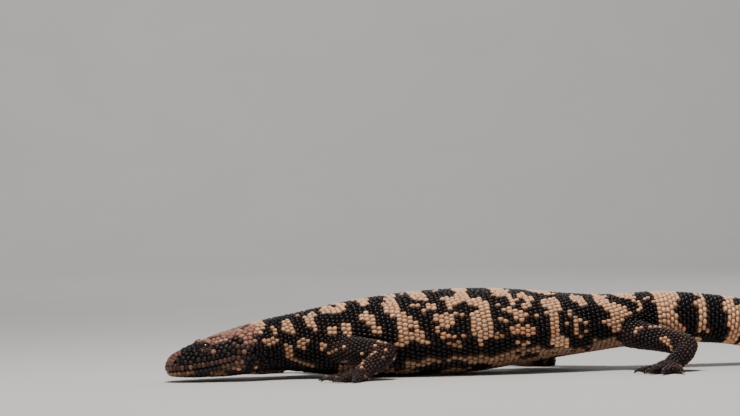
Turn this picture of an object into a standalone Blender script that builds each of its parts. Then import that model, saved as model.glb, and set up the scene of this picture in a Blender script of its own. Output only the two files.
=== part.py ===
"""A gila monster as a still, life-size model: a heavy lizard walking low on four short legs.

The head points along -X and the tail along +X; the animal's left side faces -Y, and +Z is up.
The floor is the plane z = 0. Lengths in the tables are in millimetres and are turned into metres
where a mesh is made.
"""

import math

import bmesh
import bpy
import numpy as np
from mathutils import Matrix, Vector

MM = 0.001
GAP = 0.3
FLOOR_DEPTH = 30.0
SNOUT_TO_VENT = 320.0
TAIL_LENGTH = 150.0
BODY_END = SNOUT_TO_VENT + TAIL_LENGTH

# The body's outline: distance from the snout, height of the back, height of the belly, half width.
OUTLINE = (
    (0.0, 11.0, 5.0, 3.2),
    (1.5, 13.6, 4.0, 7.0),
    (4.0, 16.6, 3.4, 10.4),
    (9.0, 19.6, 3.0, 13.6),
    (16.0, 22.6, 2.8, 16.6),
    (25.0, 26.0, 2.8, 19.3),
    (36.0, 30.0, 3.0, 22.0),
    (46.0, 32.8, 3.6, 24.0),
    (54.0, 35.2, 4.4, 23.2),
    (63.0, 37.6, 5.2, 20.6),
    (76.0, 40.4, 5.0, 19.4),
    (90.0, 43.0, 3.6, 21.6),
    (105.0, 46.2, 1.6, 25.2),
    (130.0, 50.4, -0.4, 29.2),
    (160.0, 54.0, -0.8, 32.4),
    (190.0, 55.8, 0.2, 34.0),
    (215.0, 55.6, 3.0, 33.6),
    (240.0, 53.8, 6.6, 31.4),
    (265.0, 51.2, 9.8, 27.6),
    (288.0, 49.6, 12.6, 23.6),
    (306.0, 49.4, 14.6, 20.6),
    (324.0, 50.4, 15.8, 18.4),
    (342.0, 49.8, 16.4, 17.4),
    (360.0, 48.2, 15.8, 16.8),
    (380.0, 45.4, 14.0, 16.2),
    (402.0, 40.4, 10.0, 15.0),
    (424.0, 33.2, 4.8, 13.6),
    (442.0, 25.8, 0.6, 11.8),
    (456.0, 19.4, -0.4, 9.6),
    (465.0, 14.4, 0.2, 7.0),
    (468.8, 11.2, 1.4, 4.6),
    (470.0, 9.2, 3.0, 2.6),
)
# How the body swings sideways on its way from the snout to the tail's tip.
SWING = (
    (0.0, -7.0),
    (50.0, -3.0),
    (105.0, 1.0),
    (165.0, -1.5),
    (215.0, -3.0),
    (265.0, -0.5),
    (320.0, 3.5),
    (370.0, 6.5),
    (420.0, 14.0),
    (450.0, 21.0),
    (470.0, 27.0),
)
# Squareness of the section, back and belly: 2 is an ellipse and more is boxier.
SQUARENESS = (
    (0.0, 2.2, 2.3),
    (20.0, 2.6, 2.7),
    (50.0, 2.5, 2.6),
    (80.0, 2.1, 2.3),
    (180.0, 2.1, 2.5),
    (260.0, 2.1, 2.4),
    (330.0, 2.0, 2.1),
    (470.0, 2.0, 2.0),
)
TILT_SPAN = 9.0

# Where the body is parted into its named lengths.
BODY_PARTS = (
    ("head", 0.0, 62.0),
    ("neck", 62.0, 92.0),
    ("chest", 92.0, 160.0),
    ("belly", 160.0, 238.0),
    ("hips", 238.0, 320.0),
    ("tail_base", 320.0, 372.0),
    ("tail_middle", 372.0, 424.0),
    ("tail_tip", 424.0, 470.0),
)

# Bead scales: raised points in rows that lie half a step apart.
ROW_PITCH = 4.0
BEAD_RISE = 0.8
HEAD_BEAD_RISE = 0.4
BEAD_SHARE = 0.09
BACK_FROM, BACK_TO = -30.0, 210.0
BACK_STEPS, BELLY_STEPS = 24, 8
HEAD_BACK_STEPS, HEAD_BELLY_STEPS = 30, 10
# The sections lie closer together round the blunt snout.
SNOUT_STOPS = (0.0, 0.7, 2.0, 4.0)

# The face, on the left side; the right side is its mirror about the head's own line.
EYE_RADIUS = 3.2
EYE_ALONG, EYE_OUT, EYE_UP = 23.6, 12.5, 22.6
EYE_TURN, EYE_RAISE = 16.0, 20.0
LID_RADIUS = 4.2
LID_SLIT = (2.7, 1.75)
NOSTRIL_ALONG, NOSTRIL_OUT, NOSTRIL_UP = 4.2, 9.6, 13.6
NOSTRIL_SIZE = (1.3, 1.6, 1.0)
EAR_ALONG, EAR_OUT, EAR_UP = 54.0, 22.2, 20.0
EAR_SIZE = (1.7, 2.2, 3.8)
EAR_LEAN = 18.0
MOUTH_LINE = (
    (-8.0, 6.6),
    (2.0, 7.2),
    (12.0, 8.2),
    (26.0, 10.2),
    (38.0, 12.6),
    (44.0, 14.4),
    (47.5, 12.6),
    (50.5, 7.0),
    (52.0, -6.0),
)
MOUTH_SLIT, MOUTH_CUT_REACH = 0.45, 60.0
LIP_SWELL, LIP_REACH, LIP_FROM_LINE = 0.8, 1.3, 2.0
LIP_START, LIP_END = 0.5, 46.0
LIP_HALF_GAP = 2.0

# The stretch of the body that the legs grow from.
TRUNK_SPAN = (84.0, 392.0)
# Each leg: its path from inside the body to the ankle, and the radius there. joint is the elbow or knee.
LEG_SIDES = 14
LEGS = {
    "front_left": {
        "path": (
            (96, -3, 22, 11.0),
            (106, -15, 20.5, 10.0),
            (117.5, -27, 18.8, 8.8),
            (129, -37.5, 18.3, 8.0),
            (138.5, -44.5, 17.2, 7.2),
            (131.5, -49.5, 11.5, 6.3),
            (122.5, -53, 6, 5.2),
        ),
        "joint": 4,
        "heading": 200.0,
        "kind": "front",
    },
    "front_right": {
        "path": (
            (113, 5, 22, 11.0),
            (110, 17, 20.5, 10.0),
            (106, 29, 19.4, 8.8),
            (100.5, 40, 18.8, 8.0),
            (96.5, 48.5, 17.6, 7.2),
            (87.5, 53.5, 12, 6.3),
            (79, 57, 6, 5.2),
        ),
        "joint": 4,
        "heading": 163.0,
        "kind": "front",
    },
    "hind_left": {
        "path": (
            (285, 6, 29, 11.5),
            (298, -7, 27, 10.4),
            (311, -19.5, 23.4, 9.0),
            (325.5, -32.5, 20.2, 7.8),
            (338.5, -43.5, 16.8, 6.9),
            (334.5, -49.5, 11.5, 6.2),
            (326, -53.5, 6, 5.4),
        ),
        "joint": 4,
        "heading": 228.0,
        "kind": "hind",
    },
    "hind_right": {
        "path": (
            (309, 0, 29, 11.5),
            (298, 13, 27, 10.6),
            (285, 26.5, 25, 9.2),
            (270.5, 38, 22, 8.0),
            (257, 46, 18.5, 7.0),
            (260, 52.5, 12.3, 6.2),
            (264.5, 56.5, 6.2, 5.4),
        ),
        "joint": 4,
        "heading": 158.0,
        "kind": "hind",
    },
}
LEG_RING_PITCH = 4.2
PATH_STEP = 1.5
# The latitudes of the rings that close an elbow or knee as a ball.
BALL_TURNS = (30.0, 58.0, 80.0)
LEG_BEAD_RISE = 0.6

# A foot: the palm's stations (distance from the heel, half width, height) and its toes.
PALMS = {
    "front": ((-4.5, 4.2, 7.0), (-1.0, 5.8, 9.0), (5.0, 7.8, 8.2), (10.5, 8.8, 6.4), (14.0, 7.2, 4.6)),
    "hind": ((-5.5, 4.2, 7.0), (-1.5, 6.0, 9.4), (6.0, 8.2, 8.6), (13.0, 9.4, 6.6), (17.0, 7.6, 4.8)),
}
PALM_SIDES = 12
SOLE_DIP = 0.8
# Each toe: where it leaves the palm, sideways and forwards, its heading, and its length.
TOES = {
    "front": (
        (-6.6, 6.0, -52.0, 8.5),
        (-4.8, 9.0, -24.0, 11.0),
        (-0.6, 10.2, -3.0, 12.0),
        (4.0, 9.2, 18.0, 11.0),
        (6.4, 6.4, 46.0, 8.5),
    ),
    "hind": (
        (-6.8, 6.6, -50.0, 9.0),
        (-5.2, 11.0, -24.0, 12.0),
        (-1.0, 12.6, -4.0, 14.0),
        (3.8, 12.0, 15.0, 14.5),
        (6.8, 7.4, 44.0, 11.0),
    ),
}
TOE_SIDES = 8
TOE_ROOT = 5.0
TOE_RADII = (2.8, 2.7, 2.5, 1.9)
TOE_RISE = (2.9, 3.3, 2.7, 2.5)
TOE_STOPS = (-0.42, 0.3, 0.72, 1.0)
CLAW_LENGTH = {"front": 7.5, "hind": 7.0}
CLAW_SIDES = 7
# A claw's stations: share of its length, share of its base size, and rise above its root.
CLAW_SHAPE = ((0.0, 1.0, 0.0), (0.28, 0.92, 0.45), (0.55, 0.72, 0.25), (0.8, 0.46, -0.55), (1.0, 0.12, -1.6))
CLAW_HALF_WIDTH, CLAW_HALF_HEIGHT = 1.1, 1.5

HIDE_PALE = (0.80, 0.55, 0.38)
HIDE_DARK = (0.03, 0.025, 0.03)
HIDE_BELLY = (0.62, 0.42, 0.28)
CLAW_HORN = (0.14, 0.10, 0.07)
EYE_DARK = (0.02, 0.015, 0.012)


def clear_scene():
    for old in list(bpy.data.objects):
        bpy.data.objects.remove(old)


def material(name, colour, roughness):
    made = bpy.data.materials.new(name)
    made.use_nodes = True
    shader = made.node_tree.nodes["Principled BSDF"]
    shader.inputs["Base Color"].default_value = (*colour, 1.0)
    shader.inputs["Roughness"].default_value = roughness
    shader.inputs["Metallic"].default_value = 0.0
    return made


def read_rows(rows, at):
    """The columns of a table at one place along it, on a smooth curve through its rows."""
    table = np.array(rows, float)
    x, y = table[:, 0], table[:, 1:]
    at = float(np.clip(at, x[0], x[-1]))
    i = int(np.clip(np.searchsorted(x, at) - 1, 0, len(x) - 2))
    slope = np.gradient(y, x, axis=0)
    width = x[i + 1] - x[i]
    t = (at - x[i]) / width
    return (
        y[i] * (1 + 2 * t) * (1 - t) ** 2
        + y[i + 1] * t * t * (3 - 2 * t)
        + width * (slope[i] * t * (1 - t) ** 2 - slope[i + 1] * t * t * (1 - t))
    )


def spine_point(along):
    back, belly, _ = read_rows(OUTLINE, along)
    return Vector((along, float(read_rows(SWING, along)[0]), (back + belly) / 2))


def body_frame(along):
    """The section's middle, its direction to the animal's right, its upward direction, and its tangent."""
    low, high = max(along - TILT_SPAN, 0.0), min(along + TILT_SPAN, BODY_END)
    tangent = (spine_point(high) - spine_point(low)).normalized()
    right = Vector((-tangent.y, tangent.x, 0.0)).normalized()
    up = tangent.cross(right)
    return spine_point(along), right, up if up.z > 0 else -up, tangent


def power(value, squareness):
    return math.copysign(abs(value) ** (2 / squareness), value)


def ring_angles(back_steps, belly_steps):
    """Angles round a section, closer together over the back and sides than under the belly."""
    back = np.linspace(BACK_FROM, BACK_TO, back_steps, endpoint=False)
    belly = np.linspace(BACK_TO, BACK_FROM + 360.0, belly_steps, endpoint=False)
    return np.radians(np.concatenate([back, belly]))


def body_ring(along, angles, grow=0.0, rise=None, shift=0.0):
    """One section of the body. rise lifts a point of the section to make a bead, and grow swells it all."""
    middle, right, up, tangent = body_frame(along)
    back, belly, half_width = read_rows(OUTLINE, along)
    square_back, square_belly = read_rows(SQUARENESS, along)
    half_height = (back - belly) / 2
    points = []
    for j, angle in enumerate(angles):
        c, s = math.cos(angle), math.sin(angle)
        square = square_back if s > 0 else square_belly
        point = middle + right * (half_width * power(c, square)) + up * (half_height * power(s, square))
        normal = (right * (c / half_width) + up * (s / half_height)).normalized()
        lift = grow + (rise[j] if rise is not None else 0.0)
        point = point + normal * lift + tangent * shift
        if point.z < -grow:
            point.z = -grow
        points.append(point)
    return points


def loft(rings, beaded=False):
    """Vertices and faces of a closed solid through rings of equal count, with flat ends.

    beaded splits each face along the valley between its two beads.
    """
    count = len(rings[0])
    points = [p for ring in rings for p in ring]
    faces = []
    for i in range(len(rings) - 1):
        for j in range(count):
            k = (j + 1) % count
            a, b = i * count, (i + 1) * count
            if not beaded:
                faces.append((a + j, a + k, b + k, b + j))
            elif (i + j) % 2 == 0:
                faces += [(a + j, a + k, b + j), (a + k, b + k, b + j)]
            else:
                faces += [(a + j, a + k, b + k), (a + j, b + k, b + j)]
    faces.append(tuple(range(count - 1, -1, -1)))
    last = (len(rings) - 1) * count
    faces.append(tuple(last + j for j in range(count)))
    return points, faces


def solid(name, points, faces, finish=None):
    """An object from points in millimetres, its faces turned to point outwards."""
    mesh = bpy.data.meshes.new(name)
    mesh.from_pydata([Vector(p) * MM for p in points], [], faces)
    work = bmesh.new()
    work.from_mesh(mesh)
    bmesh.ops.recalc_face_normals(work, faces=work.faces)
    work.to_mesh(mesh)
    work.free()
    if finish:
        mesh.materials.append(finish)
    made = bpy.data.objects.new(name, mesh)
    bpy.context.scene.collection.objects.link(made)
    return made


def bead_rises(row, count, size, rise):
    """Every other point of a row is a bead, half a step along from those of the row before."""
    height = min(rise, BEAD_SHARE * size)
    return [height if (row + j) % 2 == 0 else 0.0 for j in range(count)]


def body_length(name, start, end, finish, angles, bead_rise=BEAD_RISE):
    """One named length of the body, from one parting to the next."""
    first = start + (GAP / 2 if start > 0 else 0.0)
    last = end - (GAP / 2 if end < BODY_END else 0.0)
    stops = np.linspace(first, last, max(3, round((last - first) / ROW_PITCH) + 1))
    if start == 0.0:
        stops = np.concatenate([SNOUT_STOPS, stops[2:]])
    rings = []
    for i, along in enumerate(stops):
        plain = i in (0, len(stops) - 1)
        size = float(read_rows(OUTLINE, along)[2])
        rise = None if plain else bead_rises(i, len(angles), size, bead_rise)
        rings.append(body_ring(along, angles, rise=rise))
    return solid(name, *loft(rings, beaded=True), finish)


def apply_modifiers(target):
    graph = bpy.context.evaluated_depsgraph_get()
    graph.update()
    made = bpy.data.meshes.new_from_object(target.evaluated_get(graph))
    target.modifiers.clear()
    target.data = made


def remove(pieces):
    for piece in pieces:
        bpy.data.objects.remove(piece)


def keep_largest(target):
    """Drops every loose surface of a mesh but the one with the most volume."""
    work = bmesh.new()
    work.from_mesh(target.data)
    groups = surfaces(work)
    if len(groups) > 1:
        largest = max(groups, key=volume_of)
        spare = [f for group in groups if group is not largest for f in group]
        bmesh.ops.delete(work, geom=spare, context="FACES")
        loose = [v for v in work.verts if not v.link_faces]
        bmesh.ops.delete(work, geom=loose, context="VERTS")
    work.to_mesh(target.data)
    work.free()


def surfaces(work):
    """The faces of a mesh in groups that hang together."""
    left, groups = set(work.faces), []
    while left:
        queue = [left.pop()]
        group = list(queue)
        while queue:
            near = {f for e in queue.pop().edges for f in e.link_faces} & left
            left -= near
            queue.extend(near)
            group.extend(near)
        groups.append(group)
    return groups


def volume_of(faces):
    total = 0.0
    for face in faces:
        corners = [v.co for v in face.verts]
        for b, c in zip(corners[1:-1], corners[2:]):
            total += corners[0].dot(b.cross(c)) / 6
    return abs(total)


def fuse(target, pieces):
    """Joins closed pieces to the target in one union."""
    group = bpy.data.collections.new("fused")
    bpy.context.scene.collection.children.link(group)
    for piece in pieces:
        bpy.context.scene.collection.objects.unlink(piece)
        group.objects.link(piece)
    union = target.modifiers.new("union", "BOOLEAN")
    union.operation = "UNION"
    union.operand_type = "COLLECTION"
    union.collection = group
    apply_modifiers(target)
    remove(pieces)
    bpy.data.collections.remove(group)
    keep_largest(target)


def carve(target, cutters, whole=False):
    """Cuts each cutter out of the target; whole keeps every piece that is left."""
    for cutter in cutters:
        cut = target.modifiers.new("cut", "BOOLEAN")
        cut.operation = "DIFFERENCE"
        cut.object = cutter
    apply_modifiers(target)
    if not whole:
        keep_largest(target)


def ball(name, middle, radii, turn, columns=16, rows=8):
    """An ellipsoid, its axes turned by a rotation matrix."""
    work = bmesh.new()
    bmesh.ops.create_uvsphere(work, u_segments=columns, v_segments=rows, radius=1.0)
    points = [Vector(middle) + turn @ Vector([a * b for a, b in zip(v.co, radii)]) for v in work.verts]
    faces = [tuple(v.index for v in f.verts) for f in work.faces]
    work.free()
    return solid(name, points, faces)


def head_place(side, along, out, up):
    """A place on the head: side is -1 for the animal's left, out is measured from its own middle line."""
    middle, right, _, _ = body_frame(along)
    place = Vector((middle.x, middle.y, 0.0)) + right * (side * out)
    place.z = up
    return place


def face_turn(side):
    """Rotation whose Z axis looks out of an eye, forwards and up, and whose X axis runs to the snout."""
    _, right, _, tangent = body_frame(EYE_ALONG)
    out = Matrix.Rotation(math.radians(side * EYE_TURN), 3, "Z") @ (right * side)
    raised = math.radians(EYE_RAISE)
    look = (out * math.cos(raised) + Vector((0, 0, math.sin(raised)))).normalized()
    ahead = (-tangent - look * (-tangent).dot(look)).normalized()
    across = look.cross(ahead)
    return Matrix((ahead, across, look)).transposed()


def slit_cutter(side):
    """An oval rod through the lids."""
    turn = face_turn(side)
    middle = head_place(side, EYE_ALONG, EYE_OUT, EYE_UP)
    rings = []
    for depth in (EYE_RADIUS * 0.35, LID_RADIUS + 3.0):
        oval = [
            Vector((LID_SLIT[0] * math.cos(a), LID_SLIT[1] * math.sin(a), depth))
            for a in np.linspace(0, 2 * math.pi, 16, endpoint=False)
        ]
        rings.append([middle + turn @ p for p in oval])
    return solid("lid_slit", *loft(rings))


def swell_lips(head):
    """Raises the two lips beside the line of the mouth."""
    line = np.array(MOUTH_LINE[1:6])
    for vertex in head.data.vertices:
        x, y, z = (c / MM for c in vertex.co)
        if not LIP_START < x < LIP_END:
            continue
        middle, right, _, _ = body_frame(x)
        away = abs(z - float(np.interp(x, line[:, 0], line[:, 1])))
        swell = LIP_SWELL * math.exp(-(((away - LIP_FROM_LINE) / LIP_REACH) ** 2))
        out = (Vector((x, y, z)) - middle).dot(right)
        if abs(out) > LIP_HALF_GAP:
            vertex.co += right * (math.copysign(swell, out) * MM)


def mouth_cutter():
    """A thin bent plate along the line of the mouth, which turns down behind the jaw."""
    line = [Vector((x, 0.0, z)) for x, z in MOUTH_LINE]
    upper, lower = [], []
    for i, point in enumerate(line):
        ahead = line[min(i + 1, len(line) - 1)] - line[max(i - 1, 0)]
        across = Vector((-ahead.z, 0.0, ahead.x)).normalized() * (MOUTH_SLIT / 2)
        upper.append(point + across)
        lower.append(point - across)
    outline = upper + lower[::-1]
    rings = [[p + Vector((0, y, 0)) for p in outline] for y in (-MOUTH_CUT_REACH, MOUTH_CUT_REACH)]
    return solid("mouth_cut", *loft(rings))


def split_jaw(head, finish):
    """Parts the head along the mouth: the upper surface stays and the lower one becomes the jaw."""
    work = bmesh.new()
    work.from_mesh(head.data)
    groups = sorted(surfaces(work), key=volume_of)[-2:]
    groups.sort(key=lambda g: sum(f.calc_center_median().z for f in g) / len(g))
    jaw_mesh = bpy.data.meshes.new("lower_jaw")
    for mesh, group in ((jaw_mesh, groups[0]), (head.data, groups[1])):
        part = work.copy()
        part.faces.ensure_lookup_table()
        kept = {f.index for f in group}
        bmesh.ops.delete(part, geom=[f for f in part.faces if f.index not in kept], context="FACES")
        loose = [v for v in part.verts if not v.link_faces]
        bmesh.ops.delete(part, geom=loose, context="VERTS")
        part.to_mesh(mesh)
        part.free()
    work.free()
    jaw_mesh.materials.append(finish)
    jaw = bpy.data.objects.new("lower_jaw", jaw_mesh)
    bpy.context.scene.collection.objects.link(jaw)
    return jaw


def make_head(finishes):
    angles = ring_angles(HEAD_BACK_STEPS, HEAD_BELLY_STEPS)
    head = body_length(*BODY_PARTS[0], finishes["dark"], angles, HEAD_BEAD_RISE)
    swell_lips(head)
    lids, cutters = [], []
    for side in (-1, 1):
        eye_at = head_place(side, EYE_ALONG, EYE_OUT, EYE_UP)
        turn = face_turn(side)
        lids.append(ball("lid", eye_at, (LID_RADIUS,) * 3, turn))
        cutters.append(ball("socket", eye_at, (EYE_RADIUS + GAP,) * 3, turn))
        cutters.append(slit_cutter(side))
        nostril_at = head_place(side, NOSTRIL_ALONG, NOSTRIL_OUT, NOSTRIL_UP)
        cutters.append(ball("nostril", nostril_at, NOSTRIL_SIZE, Matrix.Identity(3), 10, 6))
        lean = Matrix.Rotation(math.radians(-EAR_LEAN), 3, "Y")
        ear_at = head_place(side, EAR_ALONG, EAR_OUT, EAR_UP)
        cutters.append(ball("ear", ear_at, EAR_SIZE, lean, 12, 8))
    fuse(head, lids)
    carve(head, cutters)
    mouth = mouth_cutter()
    carve(head, [mouth], whole=True)
    remove(cutters + [mouth])
    split_jaw(head, finishes["belly"])
    for side, name in ((-1, "eye_left"), (1, "eye_right")):
        eye_at = head_place(side, EYE_ALONG, EYE_OUT, EYE_UP)
        eye = ball(name, eye_at, (EYE_RADIUS,) * 3, face_turn(side))
        eye.data.materials.append(finishes["eye"])
        eye.data.shade_smooth()


def path_rows(points):
    """Rows of length along a path, then x, y, z and radius."""
    table = np.array(points, float)
    steps = np.linalg.norm(np.diff(table[:, :3], axis=0), axis=1)
    return np.column_stack([np.concatenate([[0.0], np.cumsum(steps)]), table])


def round_section(middle, tangent, radii):
    """A ring of points across a direction, one for each radius."""
    across = tangent.cross(Vector((0, 0, 1))).normalized()
    up = across.cross(tangent)
    turns = np.linspace(0, 2 * math.pi, len(radii), endpoint=False)
    return [middle + across * (r * math.cos(a)) + up * (r * math.sin(a)) for r, a in zip(radii, turns)]


def leg_length(name, points, grow=0.0, finish=None, round_end=False, beads=True):
    """One length of a leg along its path. round_end closes it with the ball of the elbow or knee."""
    rows = path_rows(points)
    reach = rows[-1, 0]
    stops = np.linspace(0.0, reach, max(3, round(reach / LEG_RING_PITCH) + 1))
    rings = []
    for i, at in enumerate(stops):
        here = read_rows(rows, at)
        ahead, behind = read_rows(rows, at + PATH_STEP), read_rows(rows, at - PATH_STEP)
        tangent = Vector(ahead[:3] - behind[:3]).normalized()
        plain = i in (0, len(stops) - 1) or not beads
        rises = [0.0] * LEG_SIDES if plain else bead_rises(i, LEG_SIDES, here[3], LEG_BEAD_RISE)
        rings.append(round_section(Vector(here[:3]), tangent, [here[3] + grow + r for r in rises]))
    if round_end:
        end, radius = Vector(rows[-1, 1:4]), rows[-1, 4] + grow
        for turn in BALL_TURNS:
            middle = end + tangent * (radius * math.sin(math.radians(turn)))
            size = radius * math.cos(math.radians(turn))
            rings.append(round_section(middle, tangent, [size] * LEG_SIDES))
    return solid(name, *loft(rings, beads), finish)


def foot_axes(leg):
    """The foot's heel on the floor, its forward direction and its direction to its own right."""
    heel = Vector(leg["path"][-1][:3])
    heel.z = 0.0
    heading = math.radians(leg["heading"])
    forward = Vector((math.cos(heading), math.sin(heading), 0.0))
    right = Vector((math.sin(heading), -math.cos(heading), 0.0))
    return heel, forward, right


def palm_solid(name, leg, grow, finish=None):
    """A palm. It dips a little below the floor, which later cuts its sole flat."""
    heel, forward, right = foot_axes(leg)
    rings = []
    for distance, half_width, height in PALMS[leg["kind"]]:
        middle = heel + forward * distance + Vector((0, 0, (height - SOLE_DIP) / 2))
        half_height = (height + SOLE_DIP) / 2 + grow
        rings.append(
            [
                middle
                + right * ((half_width + grow) * math.cos(a))
                + Vector((0, 0, half_height * math.sin(a)))
                for a in np.linspace(0, 2 * math.pi, PALM_SIDES, endpoint=False)
            ]
        )
    rings[0] = [p - forward * grow for p in rings[0]]
    rings[-1] = [p + forward * grow for p in rings[-1]]
    return solid(name, *loft(rings), finish)


def toe_direction(leg, toe):
    _, forward, right = foot_axes(leg)
    side = -1.0 if leg["mirrored"] else 1.0
    turn = math.radians(toe[2]) * side
    return (forward * math.cos(turn) + right * math.sin(turn)).normalized()


def toe_root(leg, toe):
    heel, forward, right = foot_axes(leg)
    side = -1.0 if leg["mirrored"] else 1.0
    return heel + right * (toe[0] * side) + forward * toe[1]


def toe_solid(leg, toe):
    direction = toe_direction(leg, toe)
    across = Vector((direction.y, -direction.x, 0.0))
    root, length = toe_root(leg, toe), toe[3]
    rings = []
    for stop, radius, rise in zip(TOE_STOPS, TOE_RADII, TOE_RISE):
        middle = root + direction * (stop * length) + Vector((0, 0, rise))
        rings.append(
            [
                middle + across * (radius * math.cos(a)) + Vector((0, 0, radius * math.sin(a)))
                for a in np.linspace(0, 2 * math.pi, TOE_SIDES, endpoint=False)
            ]
        )
    return solid("toe", *loft(rings))


def claw_solid(name, leg, toe, finish):
    direction = toe_direction(leg, toe)
    across = Vector((direction.y, -direction.x, 0.0))
    length = CLAW_LENGTH[leg["kind"]]
    start = toe_root(leg, toe) + direction * (toe[3] + GAP) + Vector((0, 0, TOE_RISE[-1]))
    rings = []
    for share, size, rise in CLAW_SHAPE:
        middle = start + direction * (share * length) + Vector((0, 0, rise))
        rings.append(
            [
                middle
                + across * (CLAW_HALF_WIDTH * size * math.cos(a))
                + Vector((0, 0, CLAW_HALF_HEIGHT * size * math.sin(a)))
                for a in np.linspace(0, 2 * math.pi, CLAW_SIDES, endpoint=False)
            ]
        )
    return solid(name, *loft(rings), finish)


def floor_block():
    """Everything under the floor, to cut the soles flat."""
    reach = 2 * BODY_END
    corners = ((-reach, -reach), (reach, -reach), (reach, reach), (-reach, reach))
    low = [Vector((x, y, -FLOOR_DEPTH)) for x, y in corners]
    high = [Vector((p.x, p.y, 0.0)) for p in low]
    return solid("floor", *loft([low, high]))


def make_legs(finishes, trunk):
    floor = floor_block()
    for place, leg in LEGS.items():
        # The toes' table is a right foot's, inner toe first; a left foot is its mirror.
        leg["mirrored"] = place.endswith("left")
        thigh, shank = leg["path"][: leg["joint"] + 1], leg["path"][leg["joint"] :]
        upper = leg_length(f"{place}_upper_leg", thigh, 0.0, finishes["dark"], round_end=True)
        lower = leg_length(f"{place}_lower_leg", shank, 0.0, finishes["dark"])
        carve(upper, [trunk])
        around_thigh = leg_length("around_thigh", thigh, GAP + LEG_BEAD_RISE, round_end=True, beads=False)
        around_palm = palm_solid("around_palm", leg, GAP)
        carve(lower, [around_thigh, around_palm])
        foot = palm_solid(f"{place}_foot", leg, 0.0, finishes["dark"])
        fuse(foot, [toe_solid(leg, toe) for toe in TOES[leg["kind"]]])
        carve(foot, [floor])
        remove([around_palm, around_thigh])
        for i, toe in enumerate(TOES[leg["kind"]]):
            claw_solid(f"{place}_claw_{i + 1}", leg, toe, finishes["claw"])
    remove([floor])


def trunk_cutter():
    """The trunk swollen by the gap, to shape the roots of the legs to it."""
    angles = ring_angles(BACK_STEPS, BELLY_STEPS)
    rings = []
    for along in np.arange(*TRUNK_SPAN, ROW_PITCH):
        rings.append(body_ring(along, angles, grow=GAP + BEAD_RISE))
    return solid("trunk_cut", *loft(rings))


def place_origin():
    """Moves everything so that the origin is on the floor under the middle of the whole."""
    shown = [o for o in bpy.data.objects if o.type == "MESH"]
    points = np.array([v.co for o in shown for v in o.data.vertices])
    low, high = points.min(axis=0), points.max(axis=0)
    shift = Matrix.Translation((-(low[0] + high[0]) / 2, -(low[1] + high[1]) / 2, -low[2]))
    for one in shown:
        one.data.transform(shift)


def main():
    clear_scene()
    finishes = {
        "pale": material("pale_hide", HIDE_PALE, 0.5),
        "dark": material("dark_hide", HIDE_DARK, 0.45),
        "belly": material("belly_hide", HIDE_BELLY, 0.6),
        "claw": material("claw_horn", CLAW_HORN, 0.35),
        "eye": material("eye", EYE_DARK, 0.08),
    }
    make_head(finishes)
    angles = ring_angles(BACK_STEPS, BELLY_STEPS)
    for name, start, end in BODY_PARTS[1:]:
        body_length(name, start, end, finishes["pale"], angles)
    trunk = trunk_cutter()
    make_legs(finishes, trunk)
    remove([trunk])
    place_origin()


main()
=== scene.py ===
"""The looks of a gila monster: one skin over the fixed frame, bead scales on it, eyes and claws.

Tables and places are in millimetres from the tip of the snout, with +X towards the tail, +Y to the
animal's right and +Z up from the floor. to_frame turns them into metres in the frame.
"""

import itertools
import math

import bmesh
import bpy
import numpy as np
from mathutils import Matrix, Vector, noise
from mathutils.bvhtree import BVHTree
from mathutils.kdtree import KDTree


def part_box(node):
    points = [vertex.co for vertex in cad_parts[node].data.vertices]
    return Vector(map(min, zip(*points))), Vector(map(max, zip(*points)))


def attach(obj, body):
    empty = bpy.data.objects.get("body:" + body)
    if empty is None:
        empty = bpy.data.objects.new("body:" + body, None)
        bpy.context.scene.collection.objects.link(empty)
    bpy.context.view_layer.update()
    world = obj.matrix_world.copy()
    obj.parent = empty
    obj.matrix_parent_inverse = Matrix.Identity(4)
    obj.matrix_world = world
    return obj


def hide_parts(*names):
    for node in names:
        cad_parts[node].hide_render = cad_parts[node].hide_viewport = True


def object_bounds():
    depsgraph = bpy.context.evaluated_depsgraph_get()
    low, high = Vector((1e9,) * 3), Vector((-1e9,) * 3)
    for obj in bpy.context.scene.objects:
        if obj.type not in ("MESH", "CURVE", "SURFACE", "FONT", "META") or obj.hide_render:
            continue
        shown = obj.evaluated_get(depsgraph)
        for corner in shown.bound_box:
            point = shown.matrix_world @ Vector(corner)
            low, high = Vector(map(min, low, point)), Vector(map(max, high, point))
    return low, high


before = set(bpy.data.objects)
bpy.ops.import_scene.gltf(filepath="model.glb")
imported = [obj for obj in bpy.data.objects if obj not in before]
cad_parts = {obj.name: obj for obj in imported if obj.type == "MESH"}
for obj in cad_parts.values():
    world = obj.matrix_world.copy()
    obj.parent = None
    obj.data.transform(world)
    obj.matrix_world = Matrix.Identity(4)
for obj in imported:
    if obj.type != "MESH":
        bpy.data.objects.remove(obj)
cad_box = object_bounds()

MM = 0.001
SEED = 11
SNOUT_TO_VENT = 320.0
TAIL_LENGTH = 150.0
BODY_END = SNOUT_TO_VENT + TAIL_LENGTH

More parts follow.
